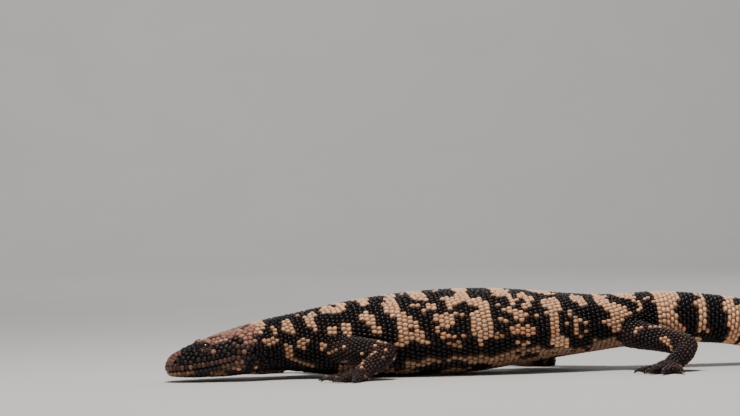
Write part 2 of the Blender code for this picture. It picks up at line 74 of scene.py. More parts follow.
# The body's outline: distance from the snout, height of the back, height of the belly, half width.
OUTLINE = (
    (0.0, 11.0, 5.0, 3.2),
    (1.5, 13.6, 4.0, 7.0),
    (4.0, 16.6, 3.4, 10.4),
    (9.0, 19.6, 3.0, 13.6),
    (16.0, 22.6, 2.8, 16.6),
    (25.0, 26.0, 2.8, 19.3),
    (36.0, 30.0, 3.0, 22.0),
    (46.0, 32.8, 3.6, 24.0),
    (54.0, 35.2, 4.4, 23.2),
    (63.0, 37.6, 5.2, 20.6),
    (76.0, 40.4, 5.0, 19.4),
    (90.0, 43.0, 3.6, 21.6),
    (105.0, 46.2, 1.6, 25.2),
    (130.0, 50.4, -0.4, 29.2),
    (160.0, 54.0, -0.8, 32.4),
    (190.0, 55.8, 0.2, 34.0),
    (215.0, 55.6, 3.0, 33.6),
    (240.0, 53.8, 6.6, 31.4),
    (265.0, 51.2, 9.8, 27.6),
    (288.0, 49.6, 12.6, 23.6),
    (306.0, 49.4, 14.6, 20.6),
    (324.0, 50.4, 15.8, 18.4),
    (342.0, 49.8, 16.4, 17.4),
    (360.0, 48.2, 15.8, 16.8),
    (380.0, 45.4, 14.0, 16.2),
    (402.0, 40.4, 10.0, 15.0),
    (424.0, 33.2, 4.8, 13.6),
    (442.0, 25.8, 0.6, 11.8),
    (456.0, 19.4, -0.4, 9.6),
    (465.0, 14.4, 0.2, 7.0),
    (468.8, 11.2, 1.4, 4.6),
    (470.0, 9.2, 3.0, 2.6),
)
# How the body swings sideways on its way from the snout to the tail's tip.
SWING = (
    (0.0, -7.0),
    (50.0, -3.0),
    (105.0, 1.0),
    (165.0, -1.5),
    (215.0, -3.0),
    (265.0, -0.5),
    (320.0, 3.5),
    (370.0, 6.5),
    (420.0, 14.0),
    (450.0, 21.0),
    (470.0, 27.0),
)
# Squareness of the section, back and belly: 2 is an ellipse and more is boxier.
SQUARENESS = (
    (0.0, 2.2, 2.3),
    (20.0, 2.6, 2.7),
    (50.0, 2.5, 2.6),
    (80.0, 2.1, 2.3),
    (180.0, 2.1, 2.5),
    (260.0, 2.1, 2.4),
    (330.0, 2.0, 2.1),
    (470.0, 2.0, 2.0),
)
# How far before and behind a section its tilt is read.
TILT_SPAN = 9.0
# The body's measured girth, as a share of the diagonal of its half sizes.
GIRTH_SHARE = math.pi / 2 * 1.03

# The face's places: distance from the snout, out from the head's own middle line, and up from the floor.
# The two sides are mirrors.
EYE_RADIUS = 3.2
EYE = (23.6, 12.5, 22.6)
EYE_TURN, EYE_RAISE = 16.0, 20.0
LID_RADIUS = 4.0
LID_OPENING = (2.9, 2.0)
NOSTRIL = (4.2, 9.6, 13.6)
EAR = (54.0, 22.2, 20.0)
EAR_SIZE = (1.5, 3.0)
MOUTH_LINE = (
    (-8.0, 6.6),
    (2.0, 7.2),
    (12.0, 8.2),
    (26.0, 10.2),
    (38.0, 12.6),
    (44.0, 14.4),
    (47.5, 12.6),
    (50.5, 8.0),
)

# The lips end at the corner of the mouth; the jaw's own edge behind it doesn't show in the skin.
LIPS = MOUTH_LINE[:6]

# Each leg: its path from inside the body to the ankle, and the radius there.
LEGS = {
    "front_left": {
        "path": (
            (96, -3, 22, 11.0), (106, -15, 20.5, 10.0), (117.5, -27, 18.8, 8.8),
            (129, -37.5, 18.3, 8.0), (138.5, -44.5, 17.2, 7.2), (131.5, -49.5, 11.5, 6.3),
            (122.5, -53, 6, 5.2),
        ),
        "heading": 200.0,
        "kind": "front",
    },
    "front_right": {
        "path": (
            (113, 5, 22, 11.0), (110, 17, 20.5, 10.0), (106, 29, 19.4, 8.8),
            (100.5, 40, 18.8, 8.0), (96.5, 48.5, 17.6, 7.2), (87.5, 53.5, 12, 6.3),
            (79, 57, 6, 5.2),
        ),
        "heading": 163.0,
        "kind": "front",
    },
    "hind_left": {
        "path": (
            (285, 6, 29, 11.5), (298, -7, 27, 10.4), (311, -19.5, 23.4, 9.0),
            (325.5, -32.5, 20.2, 7.8), (338.5, -43.5, 16.8, 6.9), (334.5, -49.5, 11.5, 6.2),
            (326, -53.5, 6, 5.4),
        ),
        "heading": 228.0,
        "kind": "hind",
    },
    "hind_right": {
        "path": (
            (309, 0, 29, 11.5), (298, 13, 27, 10.6), (285, 26.5, 25, 9.2), (270.5, 38, 22, 8.0),
            (257, 46, 18.5, 7.0), (260, 52.5, 12.3, 6.2), (264.5, 56.5, 6.2, 5.4),
        ),
        "heading": 158.0,
        "kind": "hind",
    },
}
JOINT = 4

# A foot: the palm's stations (distance from the heel, half width, height) and its toes.
PALMS = {
    "front": ((-4.5, 4.2, 7.0), (-1.0, 5.8, 9.0), (5.0, 7.8, 8.2), (10.5, 8.8, 6.4), (14.0, 7.2, 4.6)),
    "hind": ((-5.5, 4.2, 7.0), (-1.5, 6.0, 9.4), (6.0, 8.2, 8.6), (13.0, 9.4, 6.6), (17.0, 7.6, 4.8)),
}
# Each toe of a right foot, inner toe first: sideways, forwards, heading, length. A left foot is its mirror.
TOES = {
    "front": (
        (-6.6, 6.0, -52.0, 8.5),
        (-4.8, 9.0, -24.0, 11.0),
        (-0.6, 10.2, -3.0, 12.0),
        (4.0, 9.2, 18.0, 11.0),
        (6.4, 6.4, 46.0, 8.5),
    ),
    "hind": (
        (-6.8, 6.6, -50.0, 9.0),
        (-5.2, 11.0, -24.0, 12.0),
        (-1.0, 12.6, -4.0, 14.0),
        (3.8, 12.0, 15.0, 14.5),
        (6.8, 7.4, 44.0, 11.0),
    ),
}
TOE_STOPS = (-0.42, -0.1, 0.15, 0.38, 0.62, 0.82, 0.95, 1.0)
TOE_RADII = (2.7, 2.7, 2.35, 2.6, 2.15, 2.2, 1.7, 0.9)
TOE_RISE = (3.0, 3.3, 3.2, 3.2, 2.8, 2.75, 2.6, 2.5)
CLAW_LENGTH = {"front": 7.5, "hind": 7.0}
# A claw's stations: share of its length, share of its base size, and rise above its root.
CLAW_SHAPE = (
    (-0.16, 0.9, 0.0),
    (0.0, 1.0, 0.1),
    (0.28, 0.92, 0.45),
    (0.55, 0.72, 0.25),
    (0.8, 0.46, -0.55),
    (0.98, 0.1, -1.6),
)
CLAW_HALF_WIDTH, CLAW_HALF_HEIGHT = 1.05, 1.5
CLAW_RINGS, CLAW_SIDES, CLAW_START = 16, 14, 0.3
# The horn's colour, how strong it is at the root and the tip, and how pale the claws count.
CLAW_COLOUR = (0.040, 0.027, 0.020)
CLAW_TONES = (1.5, 0.4)
CLAW_PALENESS = 0.2

# The sines and cosines of the latitudes of the rings that round off a tube's ends.
CAPS = [(math.sin(a), math.cos(a)) for a in np.radians((28.0, 55.0, 78.0))]
# Where the flesh has rings at the snout and at the tail's tip, and how many sides each form has.
SNOUT_STOPS, TAIL_STOPS = (0.0, 0.6, 1.4, 2.6), (468.0, 469.2, 470.0)
BODY_SIDES, LEG_SIDES, PALM_SIDES, TOE_SIDES = 72, 24, 24, 14
LEG_RINGS, PALM_RINGS = 24, 12

# How far the skin lies inside the solids, and how high above the floor its soles are.
SKIN_DEPTH, TOE_SKIN_DEPTH, LID_SKIN_DEPTH = 0.5, 0.15, 0.25
FLOOR_CLEAR = 0.55
VOXEL = 1.25

# The photograph's frame, and the camera that sees the animal as it does.
PHOTO_WIDTH, PHOTO_HEIGHT = 740, 416
SENSOR = 36.0
CAMERA = {"azimuth": -8.0, "distance": 2000.0, "height": 125.0, "lens": 147.6, "roll": -1.14}
CAMERA_TARGET = (-98.5, 0.0, 110.7)


def unit(vectors):
    return vectors / np.maximum(np.linalg.norm(vectors, axis=-1, keepdims=True), 1e-9)


def smooth_step(low, high, value):
    t = np.clip((value - low) / (high - low), 0.0, 1.0)
    return t * t * (3 - 2 * t)


def level_axes(ahead):
    """The level way across a direction, and the way up from both."""
    across = unit(np.cross(ahead, (0.0, 0.0, 1.0)))
    return across, np.cross(across, ahead)


def ring(turns, across, up):
    """Directions round a circle."""
    return np.outer(np.cos(turns), across) + np.outer(np.sin(turns), up)


def hump(value, middle, breadth):
    """A rounded hump of height 1 about a middle value."""
    return np.exp(-(((value - middle) / breadth) ** 2))


def round_turns(count):
    """Angles spread evenly round a circle."""
    return np.linspace(0, 2 * math.pi, count, endpoint=False)


def read_rows(rows, at):
    """The columns of a table at places along it, on a smooth curve through its rows."""
    table = np.array(rows, float)
    x, y = table[:, 0], table[:, 1:]
    at = np.clip(np.atleast_1d(at).astype(float), x[0], x[-1])
    i = np.clip(np.searchsorted(x, at) - 1, 0, len(x) - 2)
    slope = np.gradient(y, x, axis=0)
    width = (x[i + 1] - x[i])[:, None]
    t = (at - x[i])[:, None] / width
    return (
        y[i] * (1 + 2 * t) * (1 - t) ** 2
        + y[i + 1] * t * t * (3 - 2 * t)
        + width * (slope[i] * t * (1 - t) ** 2 - slope[i + 1] * t * t * (1 - t))
    )


def spine(along):
    back, belly, _ = read_rows(OUTLINE, along).T
    return np.column_stack([along, read_rows(SWING, along)[:, 0], (back + belly) / 2])


def body_frame(along):
    """The sections' middles, their directions to the right and up, and the body's tangents."""
    along = np.atleast_1d(along).astype(float)
    low, high = np.maximum(along - TILT_SPAN, 0.0), np.minimum(along + TILT_SPAN, BODY_END)
    tangent = unit(spine(high) - spine(low))
    right = unit(np.column_stack([-tangent[:, 1], tangent[:, 0], np.zeros(len(tangent))]))
    up = np.cross(tangent, right)
    up *= np.sign(up[:, 2:])
    return spine(along), right, up, tangent


def half_sizes(along):
    """The sections' half widths and half heights."""
    back, belly, half_width = read_rows(OUTLINE, along).T
    return half_width, (back - belly) / 2


def on_body(along, angle, grow=0.0):
    """Points of the body's surface at places along it and angles round it."""
    along, angle = np.broadcast_arrays(np.atleast_1d(along).astype(float), angle)
    middle, right, up, _ = body_frame(along)
    half_width, half_height = half_sizes(along)
    c, s = np.cos(angle), np.sin(angle)
    square = np.where(s > 0, *read_rows(SQUARENESS, along).T)
    out = half_width * np.sign(c) * np.abs(c) ** (2 / square)
    rise = half_height * np.sign(s) * np.abs(s) ** (2 / square)
    normal = unit(right * (c / half_width)[:, None] + up * (s / half_height)[:, None])
    return middle + right * out[:, None] + up * rise[:, None] + normal * grow


def body_place(points):
    """For points near the body: distance along it, angle round it, and height above its surface."""
    along = points[:, 0].copy()
    for _ in range(3):
        middle, _, _, tangent = body_frame(along)
        along = np.clip(along + ((points - middle) * tangent).sum(1), 0.0, BODY_END)
    middle, right, up, _ = body_frame(along)
    half_width, half_height = half_sizes(along)
    c = ((points - middle) * right).sum(1) / half_width
    s = ((points - middle) * up).sum(1) / half_height
    square = np.where(s > 0, *read_rows(SQUARENESS, along).T)
    share = (np.abs(c) ** square + np.abs(s) ** square) ** (1 / square)
    angle = np.arctan2(np.sign(s) * np.abs(s) ** (square / 2), np.sign(c) * np.abs(c) ** (square / 2))
    radius = np.linalg.norm(points - middle, axis=1)
    return along, angle, radius * (1 - 1 / np.maximum(share, 1e-6))


def girth(along):
    """How big round the body is: about three quarters of the way from its back to its belly."""
    return GIRTH_SHARE * np.hypot(*half_sizes(along))


def back_turn(angle):
    """The turn from the middle of the back to an angle round the body."""
    return (angle - math.pi / 2 + math.pi) % (2 * math.pi) - math.pi


def face_axes(side):
    """Of one eye: its middle, and the directions ahead, across and out of it. side is -1 for the left."""
    _, right, _, tangent = (Vector(v[0]) for v in body_frame(EYE[0]))
    out = Matrix.Rotation(math.radians(side * EYE_TURN), 3, "Z") @ (right * side)
    raised = math.radians(EYE_RAISE)
    look = (out * math.cos(raised) + Vector((0, 0, math.sin(raised)))).normalized()
    ahead = (-tangent - look * (-tangent).dot(look)).normalized()
    middle = np.array(head_place(side, *EYE))
    return middle, np.array((ahead, look.cross(ahead), look))


def head_place(side, along, out, up):
    """A place on the head: side is -1 for the animal's left, out is measured from its own middle line."""
    middle, right, _, _ = (v[0] for v in body_frame(along))
    place = middle + right * (side * out)
    place[2] = up
    return place


# The frame's origin, from the place of one eye in it.
eye_low, eye_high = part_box("eye_left")
ORIGIN = np.array((eye_low + eye_high) / 2 / MM) - head_place(-1, *EYE)


# The solids' ends and their height, which no scale passes.
SOLIDS_LENGTH = [corner[0] / MM - ORIGIN[0] for corner in cad_box]
SOLIDS_HEIGHT = cad_box[1][2] / MM


def to_frame(points):
    return (np.asarray(points, float) + ORIGIN) * MM


def new_object(name, data):
    made = bpy.data.objects.new(name, data)
    bpy.context.scene.collection.objects.link(made)
    return made


def mesh_of(name, points, faces):
    """A mesh in the frame from points in millimetres."""
    mesh = bpy.data.meshes.new(name)
    mesh.from_pydata(to_frame(points).tolist(), [], [tuple(int(i) for i in f) for f in faces])
    mesh.update()
    return mesh


def tube_faces(rings, count):
    """Faces of a closed tube of rings, with both ends filled."""
    faces = []
    for i in range(rings - 1):
        for j in range(count):
            k = (j + 1) % count
            faces.append((i * count + j, i * count + k, (i + 1) * count + k, (i + 1) * count + j))
    faces.append(tuple(range(count - 1, -1, -1)))
    faces.append(tuple((rings - 1) * count + j for j in range(count)))
    return faces


def tube(centres, radii, sides):
    """Points and faces of a tube round a path, with its ends rounded off."""
    centres, radii = np.array(centres, float), np.array(radii, float)
    tangents = unit(np.gradient(centres, axis=0))
    starts = [(centres[0] - tangents[0] * radii[0] * s, radii[0] * c, tangents[0]) for s, c in CAPS]
    ends = [(centres[-1] + tangents[-1] * radii[-1] * s, radii[-1] * c, tangents[-1]) for s, c in CAPS]
    rings = starts[::-1] + list(zip(centres, radii, tangents)) + ends
    turns = round_turns(sides)
    points = []
    for middle, radius, tangent in rings:
        points.append(middle + radius * ring(turns, *level_axes(tangent)))
    return np.concatenate(points), tube_faces(len(rings), sides)


def path_rows(points):
    """Rows of length along a path, then x, y, z and radius."""
    table = np.array(points, float)
    steps = np.linalg.norm(np.diff(table[:, :3], axis=0), axis=1)
    return np.column_stack([np.concatenate([[0.0], np.cumsum(steps)]), table])


def leg_stretches(leg):
    """A leg's stretches above and below its elbow or knee, as rows of length, place and radius."""
    return path_rows(leg["path"][: JOINT + 1]), path_rows(leg["path"][JOINT:])


def foot_axes(leg):
    """A foot's heel on the floor, its directions ahead and to its right, and its toes' side, 1 or -1."""
    heel = np.array(leg["path"][-1][:3], float)
    heel[2] = 0.0
    heading = math.radians(leg["heading"])
    forward = np.array((math.cos(heading), math.sin(heading), 0.0))
    right = np.array((math.sin(heading), -math.cos(heading), 0.0))
    return heel, forward, right, -1.0 if leg["path"][-1][1] < 0 else 1.0


def toe_axes(leg, toe):
    """The toe's root on the floor and its direction."""
    heel, forward, right, side = foot_axes(leg)
    turn = math.radians(toe[2]) * side
    root = heel + right * (toe[0] * side) + forward * toe[1]
    return root, forward * math.cos(turn) + right * math.sin(turn)


def palm_points(leg):
    """The palm of a foot: upright rings from its heel to its toes."""
    heel, forward, right, _ = foot_axes(leg)
    palm = PALMS[leg["kind"]]
    distances = np.linspace(palm[0][0], palm[-1][0], PALM_RINGS)
    turns = round_turns(PALM_SIDES)
    rings = []
    for distance, (half_width, height) in zip(distances, read_rows(palm, distances)):
        middle = heel + forward * distance + np.array((0, 0, (height - SKIN_DEPTH) / 2))
        across = np.outer(np.cos(turns) * (half_width - SKIN_DEPTH), right)
        rise = np.outer(np.sin(turns) * height / 2, (0, 0, 1.0))
        rings.append(middle + across + rise)
    return np.concatenate(rings), tube_faces(len(rings), len(turns))


def add_up(pieces):
    """One list of points and faces from several."""
    points, faces, count = [], [], 0
    for some_points, some_faces in pieces:
        points.append(some_points)
        faces += [tuple(i + count for i in f) for f in some_faces]
        count += len(some_points)
    return np.concatenate(points), faces


def flesh():
    """The closed forms that the skin is drawn over: body, lids, legs, palms and toes."""
    stops = np.concatenate([SNOUT_STOPS, np.arange(4.0, BODY_END - 3.0, 2.0), TAIL_STOPS])
    turns = round_turns(BODY_SIDES)
    rings = [on_body(np.full(BODY_SIDES, s), turns, -SKIN_DEPTH) for s in stops]
    pieces = [(np.concatenate(rings), tube_faces(len(stops), BODY_SIDES))]
    for side in (-1, 1):
        middle, _ = face_axes(side)
        pieces.append(ball(middle, LID_RADIUS - LID_SKIN_DEPTH))
    for leg in LEGS.values():
        for rows in leg_stretches(leg):
            reach = read_rows(rows, np.linspace(0.0, rows[-1, 0], LEG_RINGS))
            pieces.append(tube(reach[:, :3], reach[:, 3] - SKIN_DEPTH, LEG_SIDES))
        pieces.append(palm_points(leg))
        for toe in TOES[leg["kind"]]:
            root, direction = toe_axes(leg, toe)
            stops = zip(TOE_STOPS, TOE_RISE)
            centres = [root + direction * (share * toe[3]) + (0, 0, rise) for share, rise in stops]
            pieces.append(tube(centres, np.array(TOE_RADII) - TOE_SKIN_DEPTH, TOE_SIDES))
    return add_up(pieces)


def ball(middle, radius, columns=24, rows=12):
    work = bmesh.new()
    bmesh.ops.create_uvsphere(work, u_segments=columns, v_segments=rows, radius=radius)
    points = np.array([v.co for v in work.verts]) + middle
    faces = [tuple(v.index for v in f.verts) for f in work.faces]
    work.free()
    return points, faces


def evaluated(made):
    """The object's mesh with its modifiers applied; the object is removed."""
    graph = bpy.context.evaluated_depsgraph_get()
    graph.update()
    mesh = bpy.data.meshes.new_from_object(made.evaluated_get(graph))
    bpy.data.objects.remove(made)
    return mesh


# How strongly a mesh is smoothed, and swelled again so that it doesn't shrink.
SMOOTHING, SWELLING = 0.55, 0.57


def read_vectors(items, field):
    flat = np.empty(len(items) * 3, np.float32)
    items.foreach_get(field, flat)
    return flat.reshape(-1, 3).astype(float)


def get_points(mesh):
    return read_vectors(mesh.vertices, "co") / MM - ORIGIN


def set_points(mesh, points):
    mesh.vertices.foreach_set("co", to_frame(points).astype(np.float32).ravel())
    mesh.update()


def get_normals(mesh):
    return read_vectors(mesh.vertex_normals, "vector")


def relax(mesh, passes):
    """Smooths a mesh without shrinking it, by turns of smoothing and swelling."""
    edges = np.empty(len(mesh.edges) * 2, np.int32)
    mesh.edges.foreach_get("vertices", edges)
    a, b = edges.reshape(-1, 2).T
    points = get_points(mesh)
    degree = np.bincount(np.concatenate([a, b]), minlength=len(points))[:, None]
    for _ in range(passes):
        for strength in (SMOOTHING, -SWELLING):
            total = np.zeros_like(points)
            np.add.at(total, a, points[b])
            np.add.at(total, b, points[a])
            points = points + strength * (total / degree - points)
    set_points(mesh, points)


def finer(mesh, chosen):
    """Splits the faces whose corners are all chosen."""
    work = bmesh.new()
    work.from_mesh(mesh)
    work.verts.ensure_lookup_table()
    edges = [e for e in work.edges if chosen[e.verts[0].index] and chosen[e.verts[1].index]]
    bmesh.ops.subdivide_edges(work, edges=edges, cuts=1, use_grid_fill=True)
    bmesh.ops.triangulate(work, faces=[f for f in work.faces if len(f.verts) > 4])
    work.to_mesh(mesh)
    work.free()


def mouth_gap(points):
    """Distance from the line of the mouth, seen from the side, and whether a point is above it."""
    line = np.array(LIPS)
    x, z = points[:, 0], points[:, 2]
    best = np.full(len(points), 1e9)
    for (ax, az), (bx, bz) in zip(line[:-1], line[1:]):
        dx, dz = bx - ax, bz - az
        t = np.clip(((x - ax) * dx + (z - az) * dz) / (dx * dx + dz * dz), 0.0, 1.0)
        best = np.minimum(best, np.hypot(x - ax - t * dx, z - az - t * dz))
    return best, z > np.interp(x, line[:, 0], line[:, 1])


# The share of a place that is far from an ear, and how far out from its middle an ear is looked for.
FAR_SHARE, EAR_REACH = 9.0, 8.0


def ear_share(points):
    """How far from an ear's middle a point lies, as a share of the ear's size."""
    share = np.full(len(points), FAR_SHARE)
    for side in (-1, 1):
        away = points - head_place(side, *EAR)
        oval = np.sqrt((away[:, 0] / EAR_SIZE[0]) ** 2 + (away[:, 2] / EAR_SIZE[1]) ** 2)
        share = np.minimum(share, np.where(np.abs(away[:, 1]) < EAR_REACH, oval, FAR_SHARE))
    return share


def nostril_distance(points):
    places = [head_place(side, *NOSTRIL) for side in (-1, 1)]
    return np.min([np.linalg.norm(points - place, axis=1) for place in places], axis=0)


def eye_distance(points):
    """Distance to the middle of the nearer eye."""
    return np.min([np.linalg.norm(points - face_axes(side)[0], axis=1) for side in (-1, 1)], axis=0)


def lid_view(points, side):
    """Points as an eye's lids see them: ahead, across, out, and as a share of the lids' opening."""
    middle, axes = face_axes(side)
    ahead, across, out = ((points - middle) @ axes.T).T
    share = np.sqrt((ahead / LID_OPENING[0]) ** 2 + (across / LID_OPENING[1]) ** 2)
    return ahead, across, out, share


# How the face is cut into the skin: each form's rise or depth, and its middle and breadth or its edge.
FACE_END = (54.0, 50.0)
LIP_RISE, LIP_AT, MOUTH_DEPTH, MOUTH_AT = 0.5, (2.1, 1.2), 0.95, (0.0, 0.5)
NOSTRIL_RISE, NOSTRIL_RIM, NOSTRIL_DEPTH, NOSTRIL_EDGE = 0.35, (2.0, 0.7), 1.9, (1.35, 0.75)
EAR_RISE, EAR_RIM, EAR_DEPTH, EAR_EDGE = 0.35, (1.35, 0.3), 2.3, (1.05, 0.65)
SOCKET_EDGE, SOCKET_FLOOR = (1.12, 0.92), 1.2
# The creases across the throat: distance from the snout and depth, their breadth and how far they bend.
CREASES = ((66.0, 0.5), (73.5, 0.9), (80.0, 0.6), (88.0, 0.4))
CREASE_BREADTH, CREASE_BEND = 1.2, 2.0
# The loose fold along the flank: its angle round the body, how it waves, its two ends, and its section.
FOLD_LEVEL, FOLD_WAVE, FOLD_WAVE_LENGTH = math.radians(-34.0), 0.05, 9.0
FOLD_START, FOLD_END = (128.0, 145.0), (292.0, 270.0)
FOLD_DEPTH, FOLD_BREADTH, FOLD_GAP, FOLD_CREASE_BREADTH = 0.8, 0.10, 0.2, 0.08
# Where the skin is finer: over the head, and finer still this near to the mouth, nostrils, ears and eyes.
FINE_END, FINE_MOUTH_END = 64.0, 52.0
FINE_MOUTH, FINE_NOSTRIL, FINE_EAR, FINE_EYE = 1.3, 3.5, 1.9, 5.2


def shape_face(mesh):
    """Sinks the mouth, nostrils, ears and eye sockets into the skin, and swells the lips."""
    points, normals = get_points(mesh), get_normals(mesh)
    gap, _ = mouth_gap(points)
    face = smooth_step(*FACE_END, points[:, 0])
    lift = face * (LIP_RISE * hump(gap, *LIP_AT) - MOUTH_DEPTH * hump(gap, *MOUTH_AT))
    nostril = nostril_distance(points)
    lift += NOSTRIL_RISE * hump(nostril, *NOSTRIL_RIM) - NOSTRIL_DEPTH * smooth_step(*NOSTRIL_EDGE, nostril)
    ear = ear_share(points)
    lift += EAR_RISE * hump(ear, *EAR_RIM) - EAR_DEPTH * smooth_step(*EAR_EDGE, ear)
    points = points + normals * lift[:, None]
    for side in (-1, 1):
        _, _, out, share = lid_view(points, side)
        sink = smooth_step(*SOCKET_EDGE, share) * (out > 0) * np.clip(out - SOCKET_FLOOR, 0.0, None)
        _, axes = face_axes(side)
        points = points - axes[2] * sink[:, None]
    set_points(mesh, points)


def fold_skin(mesh):
    """Creases across the throat, and a loose fold along each flank."""
    points, normals = get_points(mesh), get_normals(mesh)
    along, angle, height = body_place(points)
    trunk = smooth_step(1.5, 0.4, height)
    under = smooth_step(0.5, -0.6, np.sin(angle))
    lift = np.zeros(len(points))
    for place, depth in CREASES:
        bent = place + CREASE_BEND * np.sin(angle * 2.0)
        lift -= depth * under * hump(along, bent, CREASE_BREADTH)
    level = FOLD_LEVEL + FOLD_WAVE * np.sin(along / FOLD_WAVE_LENGTH)
    side_angle = np.where(np.cos(angle) > 0, angle, np.sign(angle) * math.pi - angle)
    flank = smooth_step(*FOLD_START, along) * smooth_step(*FOLD_END, along)
    lift += FOLD_DEPTH * flank * hump(side_angle, level, FOLD_BREADTH)
    lift -= FOLD_DEPTH * flank * hump(side_angle, level - FOLD_GAP, FOLD_CREASE_BREADTH)
    points = points + normals * (lift * trunk)[:, None]
    points[:, 2] = np.maximum(points[:, 2], FLOOR_CLEAR)
    set_points(mesh, points)


def make_skin():
    """One seamless skin drawn over the flesh, finest at the face."""
    rough = new_object("flesh", mesh_of("skin", *flesh()))
    wrap = rough.modifiers.new("wrap", "REMESH")
    wrap.mode = "VOXEL"
    wrap.voxel_size = VOXEL * MM
    skin_mesh = evaluated(rough)
    relax(skin_mesh, 9)
    fold_skin(skin_mesh)
    finer(skin_mesh, get_points(skin_mesh)[:, 0] < FINE_END)
    points = get_points(skin_mesh)
    near_face = (nostril_distance(points) < FINE_NOSTRIL) | (ear_share(points) < FINE_EAR)
    near_face |= (mouth_gap(points)[0] < FINE_MOUTH) & (points[:, 0] < FINE_MOUTH_END)
    near_face |= eye_distance(points) < FINE_EYE
    relax(skin_mesh, 1)
    finer(skin_mesh, near_face)
    shape_face(skin_mesh)
    skin_mesh.shade_smooth()
    skin_mesh.name = "skin"
    return new_object("skin", skin_mesh)


# How far apart the scales lie, by distance from the snout: between rows, and round the body.
ROW_STEPS = (
    (60.0, 2.7, 2.6),
    (78.0, 2.9, 2.7),
    (98.0, 3.3, 2.9),
    (120.0, 3.35, 2.8),
    (326.0, 3.35, 2.8),
    (331.0, 2.8, 4.3),
    (428.0, 2.7, 4.2),
    (455.0, 2.5, 3.0),
    (470.0, 2.2, 2.2),
)
ROWS_FROM, ROWS_TO = 58.0, 469.0
# The trunk's rows bend back on either side of the spine: how far in all, and within what reach.
ROW_SLANT, SLANT_REACH = 7.0, 15.0
# Where the beads of the flank give way to the plates of the belly, in degrees round the section.
BELLY_FROM = -50.0
BELLY_STEP, BELLY_WIDEST, BELLY_MARGIN = 3.3, 1.15, 0.45
# Places that a row is measured at, how far a bead may lie off the skin, and how much the beads stray.
ROW_STATIONS = 181
ROW_SNAP, LEG_SNAP = 1.3, 0.9
JITTER_ALONG, JITTER_ROUND = 0.25, 0.009
# The stretch over which the rows turn into the tail's regular rings.
TAIL_RINGS_FROM = (300.0, 330.0)
HEAD_END = 62.0
# The spacing of the head's plates on its crown, temples, snout and throat.
CROWN_STEP, TEMPLE_STEP, SNOUT_STEP, THROAT_STEP = 4.3, 3.2, 2.6, 2.9
LIP_STEP, LIP_OFFSET, LIP_REACH = 2.9, 1.9, 126.0
LEG_STEPS = (2.9, 2.2)
PALM_STEP, TOE_STEP, NOSTRIL_STEP = 1.8, 1.75, 2.0
# The spacing where scales are strewn between the rows: on the neck, round the eyes, on body and legs.
NECK_STEP, LID_STEP, GAP_STEP, LEG_GAP_STEP = 2.8, 2.2, 3.0, 2.1
# Where the legs stand out of the body, and the height of the feet.
LEGS_SPAN, LEGS_OUT, FOOT_STREWN = (70.0, 345.0), 37.0, 10.0
# The lips' contour: the middle of its rays, how many there are, where they start, and their passes.
HEAD_MIDDLE, LIP_RAYS, LIP_RAY_START, LIP_FIRST_HEIGHT, LIP_PASSES = 26.0, 360, 60.0, 8.0, 5
# The rings of small scales: how far out from the lids' opening and how many, and those of a nostril.
LID_RINGS = ((1.0, 16), (2.3, 18))
NOSTRIL_RING, NOSTRIL_SCALES = 2.6, 8
# How much skin stays bare of scales at the openings.
BARE_NOSTRIL, BARE_EAR, BARE_MOUTH, BARE_MOUTH_END = 1.7, 1.15, 0.75, 51.0
BARE_LIDS, BARE_LIDS_REACH = 1.3, 6.0
# Strewn scales: their least distances as shares of the spacing, the cells they are looked up in, and how
# often they are evened out. Then what makes a root crowd another.
ROW_CLEAR, STREWN_CLEAR, CELL, EVENING_PASSES = 0.46, 0.8, 4.5, 4
CROWD_REACH, CROWD_SHARE, CROWD_STEP = 2.4, 0.62, 3.2
SCALE_SIDES = 10
# A scale's profile from its buried edge to its crown: share of its outline, share of its height.
PROFILE = ((1.0, -0.25), (0.92, 0.27), (0.7, 0.69), (0.37, 0.93))
# How much of the edge's colour each ring of the profile has: partly the darker skin between beads, partly
# painted shade in the creases between them.
EDGE_TONE_AND_SHADE_SHARES = (1.0, 0.45, 0.02, 0.0)
# How much more of it each ring has on the side that faces down: painted shade on each scale's underside.
UNDERSIDE_SHADE_SHARES = (0.0, 0.42, 0.5, 0.15)
OUTLINE_ROUNDNESS = 7.5
# How far a scale may reach, as a share of the spacing, and how it meets those beside it.
FREE_REACH, LEAST_REACH = 0.74, 0.35
OUTLINE_RANGE = (0.985, 1.055)
# The tail's beads keep within their own rows, so that the rows stand apart as rings.
RING_REACH, RING_OVERLAP, RINGED_FROM = 0.45, 0.07, (322.0, 336.0)
NEIGHBOURS, TOUCHING = 14, 6


def row_steps(along):
    """The step to the next row, and the step round the body, at places along it."""
    table = np.array(ROW_STEPS)
    return np.interp(along, table[:, 0], table[:, 1]), np.interp(along, table[:, 0], table[:, 2])


class Surface:
    """The skin as a surface to set scales on."""

    def __init__(self, mesh):
        self.points = get_points(mesh)
        mesh.calc_loop_triangles()
        flat = np.empty(len(mesh.loop_triangles) * 3, np.int32)
        mesh.loop_triangles.foreach_get("vertices", flat)
        self.triangles = flat.reshape(-1, 3)
        self.normals = get_normals(mesh)
        self.tree = BVHTree.FromPolygons(self.points.tolist(), self.triangles.tolist())

    def snap(self, places):
        """The nearest places of the skin, the skin's smooth normals there, and how far they were."""
        found = [self.tree.find_nearest(p) for p in np.asarray(places).tolist()]
        near = np.array([f[0] for f in found])
        faces = self.triangles[[f[2] for f in found]]
        corners = self.points[faces]
        weight = 1.0 / (np.linalg.norm(corners - near[:, None], axis=2) + 0.05)
        normal = unit((self.normals[faces] * weight[:, :, None]).sum(1))
        return near, normal, np.array([f[3] for f in found])


